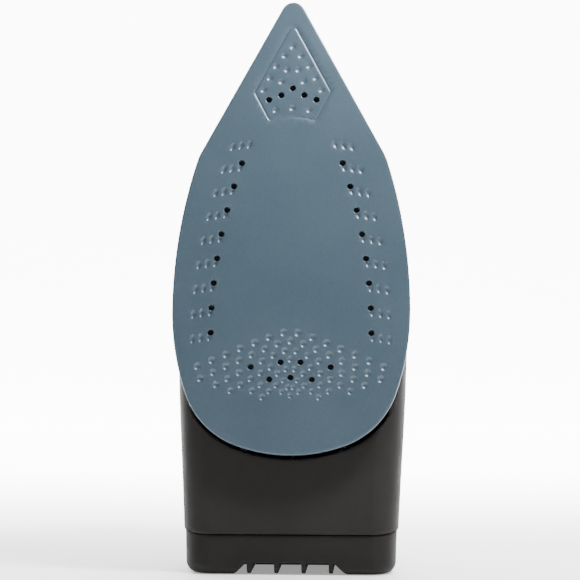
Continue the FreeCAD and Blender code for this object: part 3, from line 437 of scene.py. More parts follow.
class Profile:
    """The field of a flat outline, read from a fine table."""

    def __init__(self, run, pitch=0.7, margin=14.0):
        run = np.array(run)
        back = run - np.roll(run, 1, axis=0)
        ahead = np.roll(run, -1, axis=0) - run
        bends = np.abs(back[:, 0] * ahead[:, 1] - back[:, 1] * ahead[:, 0]) > 1e-5
        run = run[bends]
        self.pitch = pitch
        self.low = run.min(axis=0) - margin
        self.counts = np.ceil((run.max(axis=0) + margin - self.low) / pitch).astype(int) + 1
        u = self.low[0] + pitch * np.arange(self.counts[0])
        v = self.low[1] + pitch * np.arange(self.counts[1])
        grid = np.stack(np.meshgrid(u, v, indexing="ij"), axis=-1).reshape(-1, 2)
        self.table = signed_distance(grid, run).reshape(self.counts)

    def __call__(self, u, v):
        s = np.clip((u - self.low[0]) / self.pitch, 0, self.counts[0] - 1.001)
        t = np.clip((v - self.low[1]) / self.pitch, 0, self.counts[1] - 1.001)
        i = s.astype(int)
        j = t.astype(int)
        s = s - i
        t = t - j
        near = self.table[i, j] * (1 - t) + self.table[i, j + 1] * t
        far = self.table[i + 1, j] * (1 - t) + self.table[i + 1, j + 1] * t
        return near * (1 - s) + far * s


def both(a, b, radius=0.0):
    """Where two fields overlap; the edge between them is rounded by radius."""
    if not radius:
        return np.maximum(a, b)
    corner = np.hypot(np.maximum(a + radius, 0), np.maximum(b + radius, 0))
    return np.minimum(np.maximum(a, b), -radius) + corner


def either(a, b, radius=0.0):
    """Two fields joined, with a fillet of the given radius between them."""
    return -both(-a, -b, radius)


def without(a, b, radius=0.0):
    return both(a, -b, radius)


def slab(value, low, high):
    return np.maximum(low - value, value - high)


def shell(field, wall):
    return np.maximum(field, -(field + wall))


def surface_net(field, low, high, step):
    """Points and quads on the zero surface of field in a box: a point in each cell that it crosses."""
    low = np.array(low, float)
    counts = np.ceil((np.array(high) - low) / step).astype(int) + 1
    axes = [low[i] + step * np.arange(counts[i]) for i in range(3)]
    values = np.broadcast_to(field(*np.meshgrid(*axes, indexing="ij", sparse=True)), counts)
    inside = values < 0
    cells = counts - 1
    total = np.zeros(cells, np.int8)
    for i, j, k in np.ndindex(2, 2, 2):
        total += inside[i:cells[0] + i, j:cells[1] + j, k:cells[2] + k]
    crossed = np.argwhere((total > 0) & (total < 8))
    index = np.full(cells, -1)
    index[tuple(crossed.T)] = np.arange(len(crossed))
    place = np.zeros((len(crossed), 3))
    found = np.zeros(len(crossed))
    for axis, a, b in np.ndindex(3, 2, 2):
        start = crossed.copy()
        start[:, (axis + 1) % 3] += a
        start[:, (axis + 2) % 3] += b
        end = start.copy()
        end[:, axis] += 1
        first = values[tuple(start.T)]
        second = values[tuple(end.T)]
        cuts = (first < 0) != (second < 0)
        spot = start[cuts].astype(float)
        spot[:, axis] += first[cuts] / (first[cuts] - second[cuts])
        place[cuts] += spot
        found[cuts] += 1
    points = low + step * place / found[:, None]
    faces = []
    for axis in range(3):
        before = [slice(1, -1)] * 3
        after = [slice(1, -1)] * 3
        before[axis] = slice(0, -1)
        after[axis] = slice(1, None)
        first = inside[tuple(before)]
        change = np.argwhere(first != inside[tuple(after)])
        outwards = first[tuple(change.T)]
        corner = change + 1
        corner[:, axis] -= 1
        step_b = np.zeros(3, int)
        step_c = np.zeros(3, int)
        step_b[(axis + 1) % 3] = 1
        step_c[(axis + 2) % 3] = 1
        ring = [corner, corner - step_b, corner - step_b - step_c, corner - step_c]
        quads = np.stack([index[tuple(c.T)] for c in ring], axis=1)
        quads[~outwards] = quads[~outwards][:, ::-1]
        faces.append(quads)
    return settle(points, field, step), np.concatenate(faces)


def settle(points, field, step, rounds=3, nudge=0.04):
    """Moves points along the field's slope onto its zero surface."""
    for _ in range(rounds):
        value = field(*points.T)
        slope = np.empty_like(points)
        for axis in range(3):
            shift = np.zeros(3)
            shift[axis] = nudge
            slope[:, axis] = (field(*(points + shift).T) - field(*(points - shift).T)) / (2 * nudge)
        steep = np.maximum((slope**2).sum(axis=1), 0.15)
        move = -slope * (value / steep)[:, None]
        size = np.linalg.norm(move, axis=1)
        points = points + move * np.minimum(1, 0.5 * step / np.maximum(size, 1e-9))[:, None]
    return points


# ---- rear housing and heel cap

LEAN = math.radians(8.0)
HEEL_REACH = 60.0
UNDER = 10.0
CROWN = 74.0
LIFT = (HEEL_REACH + UNDER * math.tan(LEAN)) * math.cos(LEAN)
JOINT_X = 62.0
WALL = 2.4
SEAM_HEIGHT = 19.8
SEAM_RISE = math.radians(8.0)
HOUSING_STATIONS = (-80.0, -40.0, 0.0, 40.0, 70.0)
HOUSING_HALVES = (55.3, 55.7, 57.7, 59.6, 60.2)
HOUSING_FOOT = 15.0
HOUSING_SHOULDER = 26.0
HOUSING_HALF = np.polynomial.Polynomial.fit(HOUSING_STATIONS, HOUSING_HALVES, 3)
CAP_INSET = 0.8
CAP_ROUND = 6.0
NOTCH_HALF = 22.8
NOTCH_FLARE = 5.9
NOTCH_HEIGHT = 6.0
NOTCH_DEPTH = 48.0
RIB_PITCH = 14.1
RIB_THICK = 2.2
DIAL_X = 38.0
DIAL_RADIUS = 22.0
DIAL_SEAT = 70.2
SKIRT_INSET = 2.0
PLAY = 0.4
TANK_BOTTOM = 25.4
SHADOW_GAP = 1.1
SPINDLE_HOLE_RADIUS = 3.4
FLOOR_THICK = 3.0
RIB_REACH = 7.5
CONTACT_SLOT_HALF = 4.5
CONTACT_SLOT_BACK = (20.5, 26.9)
HEEL_SCREW_PLACE = (40.0, 48.0)
HEEL_SCREW_RECESS = (3.6, 6.0)

PLATE_FIELD = Profile(outline(), 1.2, 20.0)


def standing(x, y, z):
    """A point in the standing iron: right, back from the soleplate's rear end and above the floor."""
    back = x * math.sin(LEAN) + z * math.cos(LEAN)
    return y, back, x * math.cos(LEAN) - z * math.sin(LEAN) + LIFT


def housing_form(x, y, z, shrink=0.0):
    """The housing's outside, running on past the heel: squarer feet and rounder shoulders."""
    middle = (UNDER + CROWN) / 2
    upper = z > middle
    corner = np.where(upper, HOUSING_SHOULDER, HOUSING_FOOT) - shrink
    across = np.abs(y) - (HOUSING_HALF(x) - shrink - corner)
    up = np.abs(z - middle) - ((CROWN - UNDER) / 2 - shrink - corner)
    outside = np.hypot(np.maximum(across, 0), np.maximum(up, 0))
    return outside + np.minimum(np.maximum(across, up), 0) - corner


def seam_plane(x, y, z):
    """Height above the seam between housing and heel cap, which rises to the back."""
    _, back, height = standing(x, y, z)
    return (height - SEAM_HEIGHT) * math.cos(SEAM_RISE) - back * math.sin(SEAM_RISE)


def rear_housing_field(x, y, z):
    outer = housing_form(x, y, z)
    field = shell(outer, WALL)
    from_dial = np.hypot(x - DIAL_X, y)
    well = np.maximum(from_dial - DIAL_RADIUS - 0.8, DIAL_SEAT - z)
    seat = np.maximum(np.maximum(well - WALL, DIAL_SEAT - WALL - z), outer)
    field = np.minimum(field, seat)
    field = without(field, well, 0.7)
    screws = np.hypot(x - HANDLE_SCREW_X, np.abs(y) - BUTTON_Y) - SCREW_HOLE_RADIUS
    bores = np.minimum(from_dial - SPINDLE_HOLE_RADIUS, screws)
    field = without(field, np.maximum(bores, (UNDER + CROWN) / 2 + 8.0 - z))
    plate = PLATE_FIELD(x, y)
    field = without(field, np.maximum(plate + SKIRT_INSET - PLAY, z - TANK_BOTTOM), 0.6)
    field = without(field, np.maximum(plate - SHADOW_GAP, z - UNDER - WALL - 0.8), 0.4)
    field = both(field, x - JOINT_X, 0.7)
    return both(field, 0.12 - seam_plane(x, y, z), 0.6)


def heel_notch(right, back, height):
    slant = math.hypot(NOTCH_FLARE, NOTCH_HEIGHT)
    side = (np.abs(right) - NOTCH_HALF - NOTCH_FLARE * (1 - height / NOTCH_HEIGHT)) * NOTCH_HEIGHT / slant
    return both(both(side, height - NOTCH_HEIGHT, 0.8), back - NOTCH_DEPTH, 1.0)


def heel_cap_field(x, y, z):
    right, back, height = standing(x, y, z)
    outer = both(housing_form(x, y, z, CAP_INSET), -height, CAP_ROUND)
    inner = np.maximum(housing_form(x, y, z, CAP_INSET + WALL), FLOOR_THICK - height)
    notch = heel_notch(right, back, height)
    inner = np.maximum(inner, FLOOR_THICK - notch)
    field = np.maximum(outer, -inner)
    field = without(field, notch, 0.9)
    for step in (-1.5, -0.5, 0.5, 1.5):
        rib = both(np.abs(right - step * RIB_PITCH) - RIB_THICK / 2, 0.15 - height, 1.0)
        rib = np.maximum(np.maximum(rib, height - RIB_REACH), outer + 0.35)
        field = either(field, np.maximum(rib, slab(back, 2.0, NOTCH_DEPTH + 1)), 0.4)
    for step in (-1, 0, 1):
        across = np.abs(right - step * RIB_PITCH) - CONTACT_SLOT_HALF
        slot = np.maximum(across, slab(back, *CONTACT_SLOT_BACK))
        field = without(field, np.maximum(slot, 2.0 - height), 0.3)
    radius, depth = HEEL_SCREW_RECESS
    away = np.hypot(np.abs(right) - HEEL_SCREW_PLACE[0], back - HEEL_SCREW_PLACE[1])
    field = without(field, np.maximum(away - radius, height - depth), 0.5)
    return both(field, seam_plane(x, y, z) + 0.12, 0.5)


# ---- tank

TANK_LEVELS = (25.4, 38.0, 50.0, 61.0, 69.0, 74.0)
TANK_INSETS = (3.4, 1.8, 1.8, 4.8, 11.8, 24.5)
TANK_NOSES = (4.0, 9.0, 15.0, 20.0, 24.0, 28.0)
TANK_SEAM = 42.0
TANK_STEP = 3.4
PIPE_RADIUS = 2.0


def tank_run(inset, nose):
    """A level section of the tank: a rounded nose, round shoulders and a square rear end."""
    apex = PLATE_LENGTH - TIP_RADIUS + (TIP_RADIUS - inset) / math.sin(NOSE_ANGLE)
    half = PLATE_HALF - inset
    shoulder = (apex - (half - 2.5) / math.tan(NOSE_ANGLE), half - 2.5, 130.0 - 3.4 * inset)
    rear = (20.0, half - 0.7, 3.0)
    return rounded_run(((apex, 0.0, nose), shoulder, rear) + mirrored((shoulder, rear)), 4.0)


def smooth_curve(stations, values, x):
    """A smooth curve through the given values, its slopes those of the neighbours' chords."""
    stations = np.array(stations)
    values = np.array(values)
    slopes = np.gradient(values, stations)
    i = np.clip(np.searchsorted(stations, x) - 1, 0, len(stations) - 2)
    width = stations[i + 1] - stations[i]
    t = (x - stations[i]) / width
    return (
        values[i] * (1 + 2 * t) * (1 - t) ** 2 + values[i + 1] * t * t * (3 - 2 * t)
        + width * (slopes[i] * t * (1 - t) ** 2 + slopes[i + 1] * t * t * (t - 1))
    )


TANK_HEIGHTS = np.arange(TANK_LEVELS[0], TANK_LEVELS[-1] + TANK_STEP, TANK_STEP)
TANK_SECTIONS = []
for level in np.minimum(TANK_HEIGHTS, CROWN):
    inset = smooth_curve(TANK_LEVELS, TANK_INSETS, level)
    nose = smooth_curve(TANK_LEVELS, TANK_NOSES, level)
    TANK_SECTIONS.append(Profile(tank_run(inset, nose), 1.8, 14.0))


def tank_form(x, y, z):
    """The tank's outside: sections blended from level to level, a rounded crown and a soft lower edge."""
    level = np.clip((z - TANK_HEIGHTS[0]) / TANK_STEP, 0, len(TANK_HEIGHTS) - 1.001)
    lower = np.floor(level)
    share = level - lower
    field = 0.0
    for k, section in enumerate(TANK_SECTIONS):
        weight = np.where(lower == k, 1 - share, 0) + np.where(lower == k - 1, share, 0)
        field = field + weight * section(x, y)
    field = both(field, z - CROWN, 3.0)
    return both(field, TANK_BOTTOM - z, 1.2)


def tank_cut(x, y, z):
    """The tank's shell, less what passes through it: valve, pipes and the filler's frame."""
    outer = tank_form(x, y, z)
    field = both(shell(outer, WALL), JOINT_X + PLAY - x, 0.7)
    wall = np.maximum(outer, slab(x, JOINT_X + PLAY, JOINT_X + PLAY + WALL))
    field = np.minimum(field, wall)
    field = without(field, np.hypot(x - VALVE_X, y) - 4.0)
    field = without(field, np.hypot(x - BURST_X, y + BUTTON_Y) - PIPE_RADIUS)
    pipes = np.hypot(x - BUTTON_X, np.abs(y) - BUTTON_Y) - PIPE_RADIUS
    field = without(field, np.maximum(pipes, TANK_SEAM - z))
    along, out = filler_frame_place(x, z)
    mouth = np.maximum(FRAME_FIELD(along, y) - 0.15, np.abs(out + 5.0) - 15.0)
    return without(field, mouth, 0.3)


def tank_base_field(x, y, z):
    return both(tank_cut(x, y, z), z - TANK_SEAM + 0.1, 0.4)


def tank_top_field(x, y, z):
    return both(tank_cut(x, y, z), TANK_SEAM + 0.1 - z, 0.4)


# ---- filler

FILLER_X = 200.0
FILLER_LEVEL = 68.2
FILLER_TILT = math.radians(22.0)
HINGE_AT = (9.6, -1.6)


def filler_frame_place(x, z):
    """Along the filler's slope, towards the nose, and out of its face."""
    dx = x - FILLER_X
    dz = z - FILLER_LEVEL
    out = dx * math.sin(FILLER_TILT) + dz * math.cos(FILLER_TILT)
    return dx * math.cos(FILLER_TILT) - dz * math.sin(FILLER_TILT), out


def box_run(low, high, half, rounds):
    """A rectangle's outline from low to high along x, its corners rounded at the high and the low end."""
    front, rear = rounds
    corners = ((high, half, front), (low, half, rear))
    return rounded_run(corners + mirrored(corners), 0.4)


FRAME_FIELD = Profile(box_run(-15.0, 14.0, 11.0, (3.0, 3.0)), 0.3, 6.0)
RECESS_FIELD = Profile(box_run(-12.6, 12.4, 8.0, (2.0, 4.5)), 0.3, 6.0)
MOUTH_FIELD = Profile(box_run(-9.5, 5.0, 5.8, (3.0, 3.0)), 0.3, 6.0)
DOOR_FIELD = Profile(box_run(-12.0, 7.2, 7.6, (1.5, 4.0)), 0.3, 6.0)


def filler_frame_field(x, y, z):
    along, out = filler_frame_place(x, z)
    field = both(FRAME_FIELD(along, y) + 0.1, out - 0.6, 0.6)
    field = np.maximum(field, -9.0 - out)
    field = without(field, np.maximum(RECESS_FIELD(along, y), -3.8 - out), 0.4)
    return without(field, MOUTH_FIELD(along, y), 0.5)


def filler_door_field(x, y, z):
    along, out = filler_frame_place(x, z)
    field = both(DOOR_FIELD(along, y), slab(out, -2.3, 0.3), 0.5)
    dish = np.hypot(np.hypot(along + 4.0, y), out - 20.0) - 20.4
    field = without(field, dish, 0.3)
    width = np.abs(y) - 6.6
    tongue = np.maximum(width, np.maximum(slab(out, -2.4, 0.0), slab(along, 5.0, HINGE_AT[0])))
    barrel = np.maximum(np.hypot(along - HINGE_AT[0], out - HINGE_AT[1]) - 1.7, width)
    field = either(either(field, tongue, 0.2), barrel, 0.2)
    nail = np.maximum(np.hypot(along + 14.0, y) - 5.0, -0.8 - out)
    return without(field, nail, 0.3)


# ---- handle and controls

HANDLE_SIDE = (
    (-36, 60, 4), (-41, 100, 60), (-37, 141, 17), (40, 147, 300),
    (118, 143, 80), (169, 141, 15), (184, 106, 26), (178, 54, 3),
)
FINGER_GAP = ((2, 40, 3), (3, 112, 17), (106, 115, 20), (126, 40, 3))
HANDLE_PLAN = (
    (182, 13, 11), (162, 22, 30), (122, 22.5, 50), (90, 16.5, 70),
    (15, 16.5, 70), (-18, 22, 40), (-44, 20, 14),
)
HANDLE_WALL = 2.6
HANDLE_EDGE = 8.5
GAP_EDGE = 7.5
GRIP_REGION = ((-70, 123, 3), (-70, 170, 3), (117, 170, 3), (117, 130, 3))
BEZEL_REGION = ((117.3, 130, 1), (117.3, 170, 3), (210, 170, 3), (210, 106, 1))
BUTTON_X = 140.0
BUTTON_Y = 10.0
BUTTON_RADIUS = 7.2
BUTTON_BOTTOM = 133.0
BUTTON_TOP = 147.0
BURST_X = 126.0
VALVE_X = 160.0
LEVER_BOTTOM = 118.0
LEVER_THICK = 3.0
LEVER_REACH = 25.5
LEVER_REST = math.radians(-22.0)
LENS_X = 124.5
HANDLE_SCREW_X = -19.0
COLUMN_X = 60.0
NOZZLE_Z = 92.0
FAR = 50.0
BOSS_RADIUS = 4.5
BOSS_TOP = 90.0
PILOT_RADIUS = 1.5
SCREW_HOLE_RADIUS = 1.7

SIDE_FIELD = Profile(rounded_run(HANDLE_SIDE), 0.6, 20.0)
GAP_FIELD = Profile(rounded_run(FINGER_GAP), 0.8, 60.0)
PLAN_FIELD = Profile(rounded_run(HANDLE_PLAN + mirrored(HANDLE_PLAN)), 0.6, 20.0)
GRIP_FIELD = Profile(rounded_run(GRIP_REGION), 1.6, 120.0)
BEZEL_FIELD = Profile(rounded_run(BEZEL_REGION), 1.6, 160.0)


def handle_form(x, y, z):
    """The loop handle's outside: side and plan outlines with well-rounded edges, round the finger gap."""
    solid = both(SIDE_FIELD(x, z), PLAN_FIELD(x, y), HANDLE_EDGE)
    return without(solid, GAP_FIELD(x, z), GAP_EDGE)


def handle_shell(x, y, z):
    outer = handle_form(x, y, z)
    hollow = np.maximum(outer + HANDLE_WALL, np.where(x < COLUMN_X, CROWN + FLOOR_THICK - z, -FAR))
    return outer, np.maximum(outer, -hollow)


def handle_body_field(x, y, z):
    outer, field = handle_shell(x, y, z)
    field = without(field, GRIP_FIELD(x, z) - 0.1, 0.5)
    field = without(field, BEZEL_FIELD(x, z) - 0.1, 0.5)
    over_body = CROWN + 0.05 - z
    field = np.maximum(field, np.where(x < JOINT_X, over_body, -FAR))
    field = without(field, tank_form(x, y, z) - 0.1)
    field = without(field, np.maximum(np.hypot(y, z - NOZZLE_Z) - 4.0, VALVE_X - x), 0.5)
    from_screw = np.hypot(x - HANDLE_SCREW_X, np.abs(y) - BUTTON_Y)
    boss = np.maximum(from_screw - BOSS_RADIUS, np.maximum(outer, over_body))
    field = np.minimum(field, np.maximum(boss, z - BOSS_TOP))
    return without(field, np.maximum(from_screw - PILOT_RADIUS, z - BOSS_TOP + 2.0))


def handle_grip_field(x, y, z):
    _, field = handle_shell(x, y, z)
    return both(field, GRIP_FIELD(x, z) + 0.1, 0.5)


def control_bezel_field(x, y, z):
    _, field = handle_shell(x, y, z)
    field = both(field, BEZEL_FIELD(x, z) + 0.1, 0.5)
    buttons = np.hypot(x - BUTTON_X, np.abs(y) - BUTTON_Y) - BUTTON_RADIUS - 0.35
    field = without(field, np.maximum(buttons, 128.0 - z), 0.7)
    slot = both(np.abs(y) - 13.5, slab(z, LEVER_BOTTOM - 0.8, LEVER_BOTTOM + LEVER_THICK + 0.8), 0.6)
    field = without(field, np.maximum(slot, 168.0 - x), 0.6)
    return without(field, np.maximum(np.hypot(x - LENS_X, y) - 3.05, 125.0 - z), 0.5)


def steam_lever_field(x, y, z):
    dx = x - VALVE_X
    along = dx * math.cos(LEVER_REST) + y * math.sin(LEVER_REST)
    across = -dx * math.sin(LEVER_REST) + y * math.cos(LEVER_REST)
    middle = LEVER_BOTTOM + LEVER_THICK / 2
    far = np.hypot(dx, y)
    thick = np.abs(z - middle) - LEVER_THICK / 2
    field = both(far - 9.0, thick, 0.5)
    bar = both(np.abs(across) - 2.3, thick, 0.5)
    field = either(field, np.maximum(bar, slab(along, 0.0, LEVER_REACH)), 0.8)
    pad = both(np.hypot(along - LEVER_REACH, across) - 3.4, np.abs(z - middle) - 4.5, 1.2)
    for ridge in (-2.0, 0.0, 2.0):
        groove = np.hypot(along - LEVER_REACH - 3.5, z - middle - ridge) - 0.45
        pad = without(pad, groove, 0.25)
    field = either(field, pad, 0.6)
    hub = np.maximum(far - 5.0, slab(z, 103.0, LEVER_BOTTOM))
    collar = np.maximum(far - 7.0, slab(z, 107.1, LEVER_BOTTOM))
    return without(np.minimum(np.minimum(field, hub), collar), far - 1.9)


# ---- turned pieces


def turned(profile, centre, segments, scallops=None, ahead=False):
    """A closed piece turned about an axis that points up, or ahead.

    profile is (radius, height) from the axis to the axis, or a closed run of them off the axis. scallops
    gives the radius that a point moves to, from its radius, height and angle.
    """
    points = []
    faces = []
    angles = 2 * math.pi * np.arange(segments) / segments
    rings = []
    for radius, height in profile:
        rings.append(list(range(len(points), len(points) + (segments if radius else 1))))
        for angle in angles if radius else angles[:1]:
            r = scallops(radius, height, angle) if scallops and radius else radius
            a = r * math.cos(angle)
            b = r * math.sin(angle)
            points.append((height, a, b) if ahead else (a, b, height))
    off_axis = rings[:1] if profile[0][0] else []
    for first, second in zip(rings, rings[1:] + off_axis):
        if len(first) == 1:
            faces += [(first[0], second[(i + 1) % segments], second[i]) for i in range(segments)]
        elif len(second) == 1:
            faces += [(first[i], first[(i + 1) % segments], second[0]) for i in range(segments)]
        else:
            faces += [(b, a, c, d) for a, b, d, c in bridge(first, second)]
    return [tuple(np.add(p, centre)) for p in points], faces


def rounded_profile(corners, spacing=0.35):
    """A turning profile with rounded corners, (radius, height, rounding); its first and last stay sharp."""
    points = [corners[0][:2]]
    for before, corner, after in zip(corners, corners[1:], corners[2:]):
        points += corner_arc(before, corner, after, spacing)
    points.append(corners[-1][:2])
    return [(max(r, 0.0), h) for r, h in points]


def domes(places, radius, height):
    """Small raised dots: each a closed cap that stands on its own base."""
    points = []
    faces = []
    for x, y, z in places:
        profile = [(0.0, z - 0.4), (radius, z - 0.4), (radius, z)]
        profile += [(radius * math.cos(a), z + height * math.sin(a)) for a in np.linspace(0.35, 1.2, 4)]
        more, quads = turned(profile + [(0.0, z + height)], (x, y, 0), 20)
        faces += [tuple(i + len(points) for i in f) for f in quads]
        points += more
    return points, faces


DIAL_TOP = DIAL_SEAT + PLAY + 8.4
DIAL_GRIPS = 40


def dial_scallops(radius, height, angle):
    """The dial's ribbed rim: hollows between ribs, fading out over the top edge."""
    wave = 0.5 - 0.5 * math.cos(DIAL_GRIPS * angle)
    outer = min(1.0, max(0.0, (radius - 19.6) / 1.6))
    upper = min(1.0, max(0.0, (height - DIAL_SEAT - 1.6) / 0.8))
    return radius - 0.55 * outer * upper * wave**1.5


def make_dial():
    """The dial: a ribbed rim, a dished face and raised dots for its three settings."""
    seat = DIAL_SEAT + PLAY
    rim = DIAL_TOP - 0.05
    profile = rounded_profile([
        (0.0, seat, 0), (21.4, seat, 0.5), (21.9, seat + 1.2, 0.4), (21.9, rim, 1.6),
        (17.6, rim, 1.2), (15.6, DIAL_TOP - 2.4, 1.4), (0.0, DIAL_TOP - 2.0, 0),
    ], 0.3)
    points, faces = turned(profile, (DIAL_X, 0, 0), DIAL_GRIPS * 10, dial_scallops)
    dots = []
    for group, angle in ((1, 75), (2, 150), (3, 225)):
        for i in range(group):
            turn = math.radians(angle + (i - (group - 1) / 2) * 9)
            dots.append((DIAL_X + 12.6 * math.cos(turn), 12.6 * math.sin(turn), DIAL_TOP - 2.3))
    more, quads = domes(dots, 0.75, 0.5)
    faces += [tuple(i + len(points) for i in f) for f in quads]
    make_piece("dial_knurled", points + more, faces, "temperature_dial")


def make_buttons():
    """Two push buttons with dished tops."""
    rim = BUTTON_TOP - 0.1
    profile = rounded_profile([
        (0.0, BUTTON_BOTTOM, 0), (BUTTON_RADIUS, BUTTON_BOTTOM, 0.3), (BUTTON_RADIUS, rim, 1.3),
        (5.0, rim, 1.0), (0.0, BUTTON_TOP - 1.1, 0),
    ])
    for name, side in (("spray", 1), ("burst", -1)):
        points, faces = turned(profile, (BUTTON_X, side * BUTTON_Y, 0), 72)
        make_piece(f"{name}_button_dished", points, faces, f"{name}_button")


def make_lens():
    profile = rounded_profile([
        (0.0, 137.4, 0), (3.95, 137.4, 0.3), (3.95, 138.55, 0.3), (2.95, 138.6, 0.1), (2.95, 143.0, 0.8),
        (0.0, 143.2, 0),
    ], 0.15)
    points, faces = turned(profile, (LENS_X, 0, 0), 40)
    make_piece("indicator_lens_domed", points, faces, "indicator_lens")


def make_nozzle():
    """The spray nozzle, pointing ahead: a stem, a flange and a cone round a fine bore."""
    bore = 0.6
    profile = rounded_profile([
        (bore, 171.0, 0), (bore, 170.0, 0.05), (3.9, 170.0, 0.4), (3.9, 185.6, 0.05), (5.9, 185.65, 0.3),
        (4.5, 188.45, 0.5), (2.2, 188.45, 0.3), (1.5, 187.6, 0.2), (bore, 187.5, 0.05), (bore, 171.0, 0),
    ], 0.2)[:-1]
    points, faces = turned(profile, (0, 0, NOZZLE_Z), 48, ahead=True)
    make_piece("spray_nozzle_turned", points, faces, "spray_nozzle")


def make_shells():
    """Every moulded shell: the piece's name, its field, the box that holds it, the net's step, the node."""
    pieces = (
        ("rear_housing_shell", rear_housing_field, (-46, -62, 5), (64, 62, 77), 1.1, "rear_housing"),
        ("heel_cap_shell", heel_cap_field, (-75, -60, 3), (-14, 60, 78), 0.75, "heel_cap"),
        ("tank_base_shell", tank_base_field, (60, -62, 23), (242, 62, 43.5), 1.1, "tank_base"),
        ("tank_top_shell", tank_top_field, (60, -62, 40.5), (242, 62, 76), 1.1, "tank_top"),
        ("handle_body_shell", handle_body_field, (-44, -26, 50), (190, 26, 145), 0.95, "handle_body"),
        ("handle_grip_shell", handle_grip_field, (-44, -26, 108), (120, 26, 149), 0.85, "handle_grip"),
        ("control_bezel_shell", control_bezel_field, (115, -26, 106), (190, 26, 146), 0.7, "control_bezel"),
        ("filler_frame_shell", filler_frame_field, (180, -13, 50), (218, 13, 77), 0.5, "filler_frame"),
        ("filler_door_shell", filler_door_field, (185, -9, 58), (214, 9, 77), 0.35, "filler_door"),
        ("steam_lever_ribbed", steam_lever_field, (149, -15, 101), (191, 11, 126), 0.4, "steam_lever"),
    )
    for name, field, low, high, step, node in pieces:
        points, faces = surface_net(field, low, high, step)
        make_piece(name, points, faces, node)


# ---- materials


def new_material(name):
    material = bpy.data.materials.new(name)
    material.use_nodes = True
    nodes = material.node_tree.nodes
    return material, nodes, material.node_tree.links, nodes["Principled BSDF"]


def noise_node(nodes, links, scale, detail=3.0, roughness=0.5):
    coordinates = nodes.new("ShaderNodeTexCoord")
    noise = nodes.new("ShaderNodeTexNoise")
    noise.inputs["Scale"].default_value = scale
    noise.inputs["Detail"].default_value = detail
    noise.inputs["Roughness"].default_value = roughness
    links.new(coordinates.outputs["Object"], noise.inputs["Vector"])
    return noise.outputs["Fac"]


def ramp_node(nodes, links, source, low, high, start=0.3, end=0.7):
    """Maps a 0..1 value to colours or numbers between low and high."""
    ramp = nodes.new("ShaderNodeValToRGB")
    ramp.color_ramp.elements[0].position = start
    ramp.color_ramp.elements[1].position = end
    for element, value in zip(ramp.color_ramp.elements, (low, high)):
        colour = value if isinstance(value, tuple) else (value, value, value)
        element.color = (*colour, 1.0)
    links.new(source, ramp.inputs["Fac"])
    return ramp.outputs["Color"]


def bump_node(nodes, links, source, strength, distance):
    bump = nodes.new("ShaderNodeBump")
    bump.inputs["Strength"].default_value = strength
    bump.inputs["Distance"].default_value = distance
    links.new(source, bump.inputs["Height"])
    return bump.outputs["Normal"]


def moulded(name, dark, light, roughness=0.42, grain=900.0, depth=0.00002, specular=0.5):
    """Moulded resin: a faint cloud of colour, a fine spark-eroded grain and uneven gloss."""
    material, nodes, links, shader = new_material(name)
    cloud = noise_node(nodes, links, 18.0, 4.0, 0.6)
    links.new(ramp_node(nodes, links, cloud, dark, light), shader.inputs["Base Color"])
    wear = noise_node(nodes, links, 60.0, 5.0, 0.65)
    rough = ramp_node(nodes, links, wear, roughness - 0.05, roughness + 0.06)
    links.new(rough, shader.inputs["Roughness"])
    fine = noise_node(nodes, links, grain, 2.0, 0.6)
    links.new(bump_node(nodes, links, fine, 0.35, depth), shader.inputs["Normal"])
    shader.inputs["Specular IOR Level"].default_value = specular
    return material


def glossy_trim(name, dark, light, roughness):
    material = moulded(name, dark, light, roughness, 1500.0, 0.000008)
    material.node_tree.nodes["Principled BSDF"].inputs["Coat Weight"].default_value = 0.35
    return material


def smoke_clear():
    """The tank's smoke-tinted polycarbonate: clear, with a faint cloud of tint and wavy gloss."""
    material, nodes, links, shader = new_material("smoke_polycarbonate")
    cloud = noise_node(nodes, links, 12.0, 3.0)
    tint = ramp_node(nodes, links, cloud, (0.3, 0.36, 0.42), (0.36, 0.43, 0.5))
    links.new(tint, shader.inputs["Base Color"])
    gloss = noise_node(nodes, links, 40.0, 4.0)
    links.new(ramp_node(nodes, links, gloss, 0.06, 0.12), shader.inputs["Roughness"])
    shader.inputs["Transmission Weight"].default_value = 0.85
    shader.inputs["IOR"].default_value = 1.45
    return material


def metal(name, dark, light, roughness, metallic=1.0):
    """Plain or dulled metal, its colour and gloss clouded finely together."""
    material, nodes, links, shader = new_material(name)
    cloud = noise_node(nodes, links, 220.0, 4.0, 0.6)
    links.new(ramp_node(nodes, links, cloud, dark, light), shader.inputs["Base Color"])
    links.new(ramp_node(nodes, links, cloud, roughness, roughness + 0.12), shader.inputs["Roughness"])
    shader.inputs["Metallic"].default_value = metallic
    return material


def coated_plate():
    """The soleplate's blue-grey ceramic coating: satin, finely speckled, with a faint drawn grain."""
    material, nodes, links, shader = new_material("ceramic_coating")
    cloud = noise_node(nodes, links, 9.0, 5.0, 0.6)
    speckle = noise_node(nodes, links, 1400.0, 2.0, 0.7)
    base = ramp_node(nodes, links, cloud, (0.058, 0.09, 0.119), (0.067, 0.102, 0.133))
    fleck = ramp_node(nodes, links, speckle, (0.93, 0.93, 0.93), (1.09, 1.09, 1.09))
    mix = nodes.new("ShaderNodeMix")
    mix.data_type = "RGBA"
    mix.blend_type = "MULTIPLY"
    mix.inputs["Factor"].default_value = 1.0
    links.new(base, mix.inputs["A"])
    links.new(fleck, mix.inputs["B"])
    links.new(mix.outputs["Result"], shader.inputs["Base Color"])
    wear = noise_node(nodes, links, 35.0, 6.0, 0.65)
    links.new(ramp_node(nodes, links, wear, 0.3, 0.38), shader.inputs["Roughness"])
    links.new(bump_node(nodes, links, speckle, 0.3, 0.00002), shader.inputs["Normal"])
    shader.inputs["Metallic"].default_value = 0.25
    shader.inputs["Specular IOR Level"].default_value = 0.5
    return material


# ---- the stage


